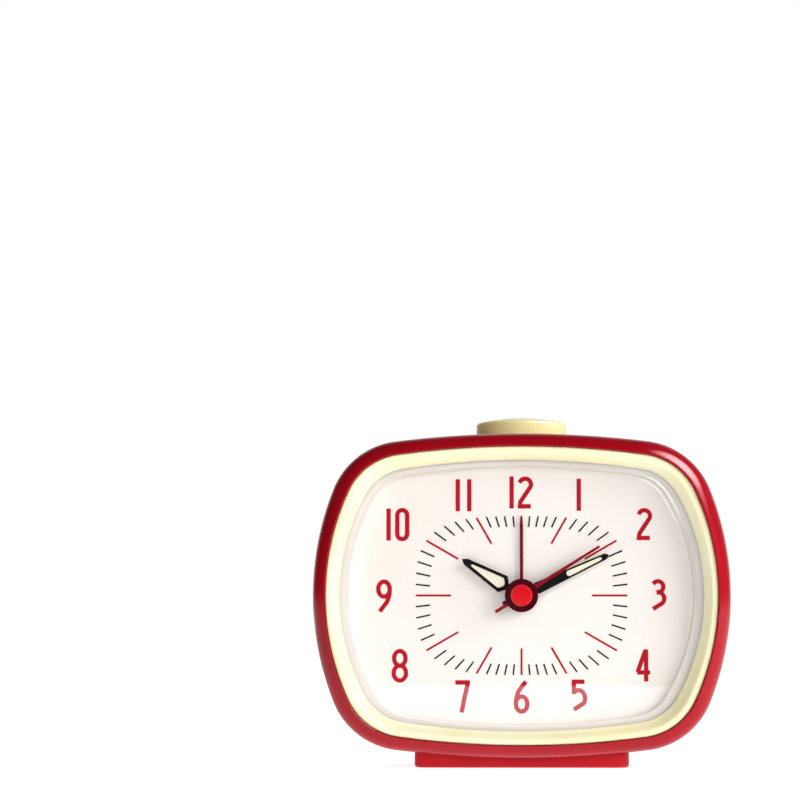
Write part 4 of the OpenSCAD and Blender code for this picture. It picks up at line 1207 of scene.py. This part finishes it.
    def build(self, dresser: Dresser) -> None:
        """Build and dress the shells and the foot.

        Args:
            dresser: Sets each piece on its body.
        """
        dresser.fit(self.front_shell(), "case", "red_shell", "front_case")
        dresser.fit(self.cover_shell(), "case", "red_shell", "rear_cover")
        # The foot's brighter red is painted light for the floor's glow under the case.
        dresser.fit(self.foot_block(), "case", "red_shell", "foot", finish="satin_foot_painted_light")


@dataclass
class Face:
    """The bezel, the lens and the spacer in front of the dial."""

    outline: Outline = field(default_factory=Outline)
    edge: float = 3.3
    bezel_front: float = 0.8
    bezel_back: float = 4.4
    bezel_edge: float = 0.4
    bezel_ease: Pair = (2.2, 3.3)
    bezel_turn: Pair = (4.1, 1.15)
    bezel_foot: Pair = (0.16, 0.62)
    bezel_lip: float = 0.2
    bezel_inner: float = 6.7
    bezel_steps: int = 8
    bezel_foot_steps: int = 5
    lens_edge: float = 6.8
    lens_shoulder: float = 2.3
    lens_inner_shoulder: float = 2.1
    lens_lift: float = 1.0
    lens_turn: float = 0.5
    lens_turn_share: float = 0.3
    lens_front: float = 2.4
    lens_back: float = 5.8
    lens_wall: float = 1.4
    lens_gap: float = 0.02
    lens_flat: float = 0.4
    lens_steps: int = 12
    dial_front: float = 8.5
    spacer_inner: float = 9.1
    spacer_edge: float = 0.25

    def bezel_ring(self) -> Piece:
        """Build the bezel with its narrow flat and sloped inside.

        Returns:
            The bezel.
        """
        step, front = self.bezel_edge, self.bezel_front
        outer = (self.edge, front + step)
        turn = (self.edge + self.bezel_turn[0] * step, front + self.bezel_turn[1] * step)
        foot = (self.bezel_inner - self.bezel_foot[0], self.bezel_back - self.bezel_foot[1])
        flat, corner = ((self.edge + share * step, front) for share in self.bezel_ease)
        profile = [(self.edge, self.bezel_back), outer]
        profile += quarter_turn(outer, (self.edge + step, front), self.bezel_steps, True)
        profile += eased(flat, corner, turn, self.bezel_steps)
        profile += [((turn[0] + foot[0]) / 2, (turn[1] + foot[1]) / 2), foot]
        lip = (self.bezel_inner, self.bezel_back - self.bezel_lip)
        profile += quarter_turn(foot, lip, self.bezel_foot_steps, False)
        profile += [(self.bezel_inner, self.bezel_back)]
        return Bench.smooth(Bench.loft("bezel_ring", self.outline.rings(profile), Ends.LOOP), Bench.WIDE_EDGE)

    def shoulder(self, start: float, reach: float, top: float) -> list[Triple]:
        """Draw a rounded shoulder of the lens from its flat front to its edge.

        Args:
            start: Inset of its edge.
            reach: How far it reaches in.
            top: Depth of the flat front.

        Returns:
            Insets, depths and lifts.
        """
        rise, share = self.bezel_back - self.lens_front, self.lens_turn_share
        corner, foot = (start + reach - self.lens_turn, top), (start, top + rise)
        slope = (corner[0] + (foot[0] - corner[0]) * share, corner[1] + (foot[1] - corner[1]) * share)
        points = eased((start + reach, top), corner, slope, self.lens_steps) + [foot]
        lifts = (self.lens_lift * min(1.0, (i - self.lens_edge) / self.lens_shoulder) for i, _ in points)
        return [(*point, lift) for point, lift in zip(points, lifts)]

    def lens_cover(self) -> Piece:
        """Build the clear lens with its rounded shoulder and flange.

        Returns:
            The lens.
        """
        wall, seat, back = self.lens_wall, self.bezel_back + self.lens_gap, self.lens_back - self.lens_gap
        outer = self.shoulder(self.lens_edge, self.lens_shoulder, self.lens_front)
        inner = self.shoulder(self.lens_edge + wall, self.lens_inner_shoulder, self.lens_front + wall)
        outer[-1] = (outer[-1][0], seat, outer[-1][2])
        inner[-1] = (inner[-1][0], back, inner[-1][2])
        flange = [(self.edge, seat, 0.0), (self.edge, back, 0.0)]
        flats = [(ring[0][0] + self.lens_flat, *ring[0][1:]) for ring in (outer, inner)]
        profile = [flats[0]] + outer + flange + inner[::-1] + [flats[1]]
        return Bench.smooth(Bench.loft("lens_cover", self.outline.rings(profile), Ends.CAPS), Bench.WIDE_EDGE)

    def spacer_ring(self) -> Piece:
        """Build the spacer between lens and dial.

        Returns:
            The spacer.
        """
        lift, edge = self.lens_lift, self.spacer_edge
        front, back = self.lens_back, self.dial_front
        profile = [
            (self.edge, back, 0.0),
            (self.edge, front, 0.0),
            (self.spacer_inner - edge, front, lift),
            (self.spacer_inner, front + edge, lift),
            (self.spacer_inner, back, lift),
        ]
        return Bench.smooth(Bench.loft("spacer_ring", self.outline.rings(profile), Ends.LOOP))

    def build(self, dresser: Dresser) -> None:
        """Build and dress the pieces of the face.

        Args:
            dresser: Sets each piece on its body.
        """
        dresser.fit(self.bezel_ring(), "case", "cream_trim", "bezel")
        dresser.fit(self.lens_cover(), "case", "clear_lens", "lens")
        dresser.fit(self.spacer_ring(), "case", "ivory_dial", "dial_spacer")


@dataclass
class Hub:
    """The red cap over the hands."""

    radius: float = 2.75
    back: float = 5.2
    height: float = 0.784
    edge: float = 0.42
    dome: float = 0.02
    lip: float = 0.05
    dome_steps: int = 9
    points: int = 96

    def build(self, dresser: Dresser) -> None:
        """Build and dress the cap.

        Args:
            dresser: Sets each piece on its body.
        """
        top = self.back - self.height + self.dome
        side = (self.radius, top + self.edge)
        shoulder = (self.radius - self.edge, top)
        profile = [(self.radius - self.lip, self.back), (self.radius, self.back - self.lip), side, shoulder]
        for k in range(1, self.dome_steps):
            r = shoulder[0] * (1 - k / self.dome_steps)
            profile.append((r, top - self.dome * (1 - (r / shoulder[0]) ** 2)))
        rings = [[at(u, v, t) for u, v in round_ring(r, self.points)] for r, t in profile]
        cap = Bench.smooth(Bench.loft("hub_dome", rings, Ends.CAPS))
        dresser.fit(cap, "seconds", "red_cap", "hub_cap")


@dataclass
class Controls:
    """The snooze button and what is worked from the back."""

    button: Pair = (23.0, 17.0)
    button_points: int = 96
    button_top: float = 88.7
    button_dome: float = 1.5
    button_edge: float = 0.7
    button_edge_steps: int = 8
    button_shares: tuple[float, ...] = (*(1 - k / 10 for k in range(1, 10)), 0.02)
    flange: Triple = (1.4, 78.5, 1.2)
    stem: Pair = (1.8, 3.15)
    spring_wire: float = 0.5
    spring_turns: int = 5
    spring_steps: int = 24
    spring_points: int = 10
    knob_r: float = 5.5
    knob_front: float = 49.5
    knob_h: float = 5.0
    knob_x: float = 15.0
    knob_bore: float = 1.27
    knob_dish: Pair = (1.5, 0.45)
    knob_ridges: int = 24
    knob_ridge: float = 0.38
    knob_ridge_steps: int = 8
    knob_sharpness: float = 2.2
    knob_foot: tuple[Triple, ...] = ((-0.5, 0.0, 0.0), (-0.25, 0.3, 0.15))
    knob_start: float = 0.5
    knob_round: Pair = (0.9, 1.1)
    knob_round_steps: int = 6
    knob_top: tuple[Triple, ...] = ((-1.3, 0.0, 0.0), (-1.7, 0.0, -0.25))
    door: Triple = (61.3, 18.0, 0.8)
    door_drop: float = 19.5
    door_depths: Pair = (47.6, 49.0)
    door_edge: float = 0.18
    door_steps: int = 5
    ribs: int = 5
    rib: Triple = (0.8, 7.9, 0.39)
    rib_x: Pair = (25.55, 2.0)
    rib_depths: Pair = (48.4, 49.5)
    tab_at: Pair = (29.0, 2.0)
    tab: Triple = (6.0, 5.6, 1.0)
    tab_depths: Pair = (49.3, 50.9)
    tab_stem: Triple = (3.0, 4.0, 0.2)
    tab_stem_depths: Pair = (44.3, 49.8)
    tab_edge: float = 0.12
    tab_steps: int = 6
    fine_steps: int = 3
    groove: Triple = (4.4, 0.5, 0.2)
    groove_step: float = 1.3
    groove_depths: Pair = (50.55, 51.9)

    def snooze_cap(self) -> Piece:
        """Build the button with its domed top, flange and stem.

        Returns:
            The button.
        """
        width, depth = self.button
        count, edge, steps = self.button_points, self.button_edge, self.button_edge_steps
        grow, low, thick = self.flange
        dome_r = (width**2 / 4 + self.button_dome**2) / (2 * self.button_dome)

        def domed(inset: float, share: float, fall: float = 0.0) -> Ring:
            """Draw the outline on the dome.

            Args:
                inset: Distance in from the outline.
                share: Share of the way out from the middle.
                fall: Distance below the dome.

            Returns:
                Points in metres.
            """
            ring = []
            for x, y in oval((width - 2 * inset) * share, (depth - 2 * inset) * share, count):
                height = self.button_top - dome_r + math.sqrt(dome_r**2 - x**2 - y**2) - fall
                ring.append(Vector((x, y, height)) * MM)
            return ring

        rings = stack(round_ring(self.stem[0], count), (low - self.stem[1], low))
        rings += stack(oval(width + 2 * grow, depth + 2 * grow, count), (low, low + thick))
        rings += stack(oval(width, depth, count), (low + thick,))
        for k in range(steps + 1):
            a = math.pi / 2 * k / steps
            rings.append(domed(edge * (1 - math.cos(a)), 1.0, edge * (1 - math.sin(a))))
        rings += [domed(edge, share) for share in self.button_shares]
        return Bench.smooth(Bench.loft("snooze_cap", rings, Ends.CAPS), Bench.WIDE_EDGE)

    def snooze_coil(self) -> Piece:
        """Build the button's return spring to the CAD spring's size.

        Returns:
            The spring.
        """
        low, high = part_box("snooze_spring")
        middle = (low + high) / 2
        wire = self.spring_wire / 2 * MM
        radius = (high.x - low.x) / 2 - wire
        steps = self.spring_turns * self.spring_steps
        section = round_ring(1.0, self.spring_points)
        rings = []
        for k in range(steps + 1):
            turn = 2 * math.pi * k / self.spring_steps
            outwards = Vector((math.cos(turn), math.sin(turn), 0.0))
            rise = low.z + wire + (high.z - low.z - 2 * wire) * k / steps
            heart = Vector((middle.x, middle.y, rise)) + outwards * radius
            rings.append([heart + (outwards * u + Vector((0.0, 0.0, v))) * wire for u, v in section])
        return Bench.smooth(Bench.loft("snooze_coil", rings, Ends.CAPS), Bench.WIDE_EDGE)

    def knob(self, name: str, x: float) -> Piece:
        """Build a ridged setting knob.

        Args:
            name: Name of the piece.
            x: Its place to the right of the hands' axis.

        Returns:
            The knob.
        """
        radius, ridge, sharp = self.knob_r, self.knob_ridge, self.knob_sharpness
        count = self.knob_ridges * self.knob_ridge_steps

        def ridged(reach: float, depth: float) -> list[Pair]:
            """Draw a circle with smooth ridges.

            Args:
                reach: Radius of their crests.
                depth: Depth of the grooves between them.

            Returns:
                Points round the middle.
            """
            points = []
            for k in range(count):
                a = 2 * math.pi * k / count
                wave = 0.5 + 0.5 * math.tanh(sharp * math.cos(a * self.knob_ridges)) / math.tanh(sharp)
                r = reach - depth * (1 - wave)
                points.append((r * math.cos(a), r * math.sin(a)))
            return points

        front, back = self.knob_front, self.knob_front + self.knob_h
        draw, rise = self.knob_round
        profile = [(self.knob_bore, 0.0, front)]
        profile += [(radius + r, d, front + t) for r, d, t in self.knob_foot]
        profile += [(radius, ridge, front + self.knob_start), (radius, ridge, back - rise)]
        for k in range(1, self.knob_round_steps + 1):
            a = math.pi / 2 * k / self.knob_round_steps
            turn = radius - draw * (1 - math.cos(a))
            profile.append((turn, ridge * math.cos(a), back - rise + rise * math.sin(a)))
        profile += [(radius + r, d, back + t) for r, d, t in self.knob_top]
        profile += [(self.knob_dish[0], 0.0, back - self.knob_dish[1])]
        rings = [[at(u + x, v, t) for u, v in ridged(r, d)] for r, d, t in profile]
        return Bench.smooth(Bench.loft(name, rings, Ends.CAPS), Bench.WIDE_EDGE)

    def door_panel(self) -> Piece:
        """Build the battery door with its grip ribs.

        Returns:
            The door.
        """
        drop = -self.door_drop
        plate = rounded_box(*self.door, self.door_steps)
        panel = Bench.prism("door_panel", plate, (0.0, drop), self.door_depths)
        bar = rounded_box(*self.rib, self.door_steps)
        for k in range(self.ribs):
            spot = (self.rib_x[0] - self.rib_x[1] * k, drop)
            Bench.carve(panel, Bench.prism("rib", bar, spot, self.rib_depths), Cut.ONTO)
        return Bench.soften(panel, self.door_edge)

    def slide_tab(self) -> Piece:
        """Build the alarm slide with its ridged thumb piece.

        Returns:
            The slide.
        """
        x, y = self.tab_at
        tab = Bench.prism("slide_tab", rounded_box(*self.tab, self.tab_steps), (x, y), self.tab_depths)
        stem = rounded_box(*self.tab_stem, self.fine_steps)
        Bench.carve(tab, Bench.prism("stem", stem, (x, y), self.tab_stem_depths), Cut.ONTO)
        groove = rounded_box(*self.groove, self.fine_steps)
        for k in (-1, 0, 1):
            spot = (x, y + self.groove_step * k)
            Bench.carve(tab, Bench.prism("groove", groove, spot, self.groove_depths), Cut.AWAY)
        return Bench.soften(tab, self.tab_edge)

    def build(self, dresser: Dresser) -> None:
        """Build and dress the controls.

        Args:
            dresser: Sets each piece on its body.
        """
        # The button's deeper yellow is painted shade on the trim's cream plastic.
        dresser.fit(self.snooze_cap(), "snooze", "cream_trim", "snooze_button", finish="button_cream_painted_shade")
        dresser.span(self.snooze_coil(), ("case", "snooze"), "steel", "snooze_spring")
        dresser.fit(self.knob("time_wheel_knob", -self.knob_x), "time_setting", "cream_trim", "time_knob")
        dresser.fit(self.knob("alarm_wheel_knob", self.knob_x), "alarm_setting", "cream_trim", "alarm_knob")
        dresser.fit(self.door_panel(), "door", "red_shell", "battery_door")
        dresser.fit(self.slide_tab(), "alarm_slider", "cream_trim", "alarm_switch")


@dataclass
class Lamp:
    """A soft box that lights the clock and does not show in its gloss."""

    name: str
    place: Triple
    aim: Triple
    size: float
    power: float

    def build(self) -> None:
        """Set up the lamp."""
        data = bpy.data.lights.new(self.name, "AREA")
        data.shape = "RECTANGLE"
        data.size = data.size_y = self.size
        data.energy = self.power
        lamp = bpy.data.objects.new(self.name, data)
        lamp.visible_glossy = lamp.visible_transmission = False
        bpy.context.scene.collection.objects.link(lamp)
        lamp.location = self.place
        lamp.rotation_euler = facing(self.place, self.aim)


@dataclass
class GleamCard:
    """A bright soft-edged card that shows only in the gloss of what the camera sees."""

    place: Triple = (0.545, -0.42, 0.635)
    aim: Triple = (0.0, -0.02, 0.045)
    size: float = 0.84
    brightness: float = 33.0
    fade: Pair = (0.12, 0.42)

    def build(self) -> None:
        """Set up the card."""
        Bench.clear()
        turn = facing(self.place, self.aim)
        bpy.ops.mesh.primitive_plane_add(size=self.size, location=self.place, rotation=turn)
        card = bpy.context.object
        card.name = "gleam_card"
        bpy.ops.object.transform_apply(location=True, rotation=True, scale=True)
        material, sheet, shader = Sheet.start("gleam_card")
        material.cycles.emission_sampling = "NONE"
        material.node_tree.nodes.remove(shader)
        paths = sheet.node("ShaderNodeLightPath").outputs
        unlit = sheet.spread(paths["Diffuse Depth"], (0.0, 1.0), (1.0, 0.0))
        glow = sheet.node("ShaderNodeEmission")
        reach = sheet.away(sheet.place(), self.place)
        sheet.feed(glow.inputs["Strength"], sheet.spread(reach, self.fade, (self.brightness, 0.0)))
        mirrored = sheet.sum("MULTIPLY", paths["Is Glossy Ray"], unlit)
        clear = sheet.node("ShaderNodeBsdfTransparent").outputs["BSDF"]
        sheet.show(sheet.either(mirrored, clear, glow.outputs["Emission"]))
        card.data.materials.append(material)


@dataclass
class Studio:
    """The camera, the lamps, the pale floor and the surroundings."""

    distance: float = 1.0
    frame_width: float = 0.2
    sensor: float = 36.0
    near: float = 0.01
    hub_offset: Pair = (121.5 / 800, 195.5 / 800)
    tilt_gain: float = 0.9975
    lamps: tuple[Lamp, ...] = (
        Lamp("key_box", (0.76, -0.47, 0.4), (0.0, -0.02, 0.045), 0.6, 9.2),
        Lamp("fill_box", (-0.1, -1.2, 0.35), (0.0, -0.02, 0.045), 0.5, 4.2),
        Lamp("back_box", (-0.35, 1.0, 0.5), (0.0, 0.03, 0.045), 0.7, 8.0),
    )
    floor_front: float = -0.93
    floor_reach: float = 3.0
    floor_drop: float = 0.00005
    floor_tones: tuple[Rgb, Rgb] = ((246, 246, 246), (240, 240, 241))
    floor_seen: Pair = (0.75, 1.0)
    floor_mirrored: float = 0.6
    floor_grain: float = 30.0
    floor_roughness: float = 0.8
    pool_at: Triple = (0.07, -0.05, 0.0)
    pool_reach: Pair = (0.05, 0.34)
    pool_glow: Pair = (1.02, 0.05)
    ahead_glow: Pair = (0.02, 0.06)
    ahead_limits: Pair = (-0.9, 0.2)
    right_glow: float = 0.2
    right_limits: Pair = (0.0, 0.9)
    behind_limits: Pair = (0.4, 0.9)

    def camera(self) -> None:
        """Set the camera in front of the hands and turn it to frame the clock as the photograph does."""
        data = bpy.data.cameras.new("camera")
        data.sensor_width = self.sensor
        data.lens = self.tilt_gain * data.sensor_width * self.distance / self.frame_width
        data.clip_start = self.near
        camera = bpy.data.objects.new("camera", data)
        bpy.context.scene.collection.objects.link(camera)
        camera.location = at(0.0, 0.0, -self.distance / MM)
        across, down = (share * data.sensor_width / data.lens for share in self.hub_offset)
        pitch = math.atan(down)
        yaw = math.atan(across * math.cos(pitch))
        camera.rotation_euler = (math.pi / 2 + pitch, 0.0, yaw)
        bpy.context.scene.camera = camera

    @staticmethod
    def seen(sheet: Sheet, mirrored: Any) -> Socket:
        """Tell the rays that show the background from those that light the clock.

        Args:
            sheet: Node tree of the background.
            mirrored: How much of the background shows in gloss and through the lens.

        Returns:
            1 for a ray from the camera, the share given for one turned by gloss or glass, and otherwise 0.
        """
        paths = sheet.node("ShaderNodeLightPath").outputs
        turned = sheet.sum("MAXIMUM", paths["Is Glossy Ray"], paths["Is Transmission Ray"])
        shown = sheet.sum("MAXIMUM", paths["Is Camera Ray"], sheet.sum("MULTIPLY", turned, mirrored))
        unlit = sheet.spread(paths["Diffuse Depth"], (0.0, 1.0), (1.0, 0.0))
        return sheet.sum("MULTIPLY", shown, unlit)

    def floor(self) -> None:
        """Lay a pale floor that keeps the clock's shadow and can be looked through from below."""
        Bench.clear()
        middle = (self.floor_front + self.floor_reach) / 2
        bpy.ops.mesh.primitive_plane_add(size=1.0, location=(0.0, middle, -self.floor_drop))
        floor = bpy.context.object
        floor.name = "floor"
        floor.scale = (2 * self.floor_reach, self.floor_reach - self.floor_front, 1.0)
        bpy.ops.object.transform_apply(location=True, rotation=True, scale=True)
        material, sheet, shader = Sheet.start("pale_floor")
        place = sheet.place()
        tone = sheet.mix(sheet.noise(place, self.floor_grain), *(linear(tone) for tone in self.floor_tones))
        looks = {"Base Color": tone, "Roughness": self.floor_roughness, "Specular IOR Level": 0.0}
        sheet.fill(shader, looks)
        reach = sheet.away(place, self.pool_at)
        pool = sheet.spread(reach, self.pool_reach, self.pool_glow)
        shown = sheet.spread(reach, self.pool_reach, self.floor_seen)
        glow = sheet.node("ShaderNodeEmission")
        seen = self.seen(sheet, self.floor_mirrored)
        sheet.feed(glow.inputs["Strength"], sheet.spread(seen, (0.0, 1.0), (pool, shown)))
        both = sheet.node("ShaderNodeAddShader")
        sheet.feed(both.inputs[0], shader.outputs["BSDF"])
        sheet.feed(both.inputs[1], glow.outputs["Emission"])
        below = sheet.node("ShaderNodeNewGeometry").outputs["Backfacing"]
        clear = sheet.node("ShaderNodeBsdfTransparent").outputs["BSDF"]
        sheet.show(sheet.either(below, both.outputs["Shader"], clear))
        floor.data.materials.append(material)

    def world(self) -> None:
        """Set pale surroundings, darker in front of the clock, and white to the camera."""
        world = bpy.data.worlds.new("studio")
        bpy.context.scene.world = world
        world.use_nodes = True
        sheet = Sheet(world.node_tree)
        heading = sheet.node("ShaderNodeSeparateXYZ")
        sheet.feed(heading.inputs[0], sheet.node("ShaderNodeTexCoord").outputs["Generated"])
        ahead = sheet.spread(heading.outputs["Y"], self.ahead_limits, self.ahead_glow)
        light = sheet.spread(heading.outputs["X"], self.right_limits, (ahead, self.right_glow))
        behind = sheet.spread(heading.outputs["Y"], self.behind_limits, (0.0, 1.0))
        strength = sheet.spread(self.seen(sheet, behind), (0.0, 1.0), (light, 1.0))
        background = world.node_tree.nodes["Background"]
        sheet.fill(background, {"Color": (1.0, 1.0, 1.0, 1.0), "Strength": strength})

    def build(self) -> None:
        """Set up the whole studio."""
        bpy.context.scene.view_settings.view_transform = "Standard"
        self.camera()
        self.floor()
        GleamCard().build()
        self.world()
        for lamp in self.lamps:
            lamp.build()


def main() -> None:
    """Load the frame, build each part of the clock and set up the studio."""
    logging.basicConfig(level=logging.INFO, format="%(message)s")
    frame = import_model()
    dresser = Dresser(Palette())
    Studio().build()
    for part in (Case(), Face(), Hub(), Controls()):
        part.build(dresser)
    dresser.keep(frame)


if __name__ == "__main__":
    main()
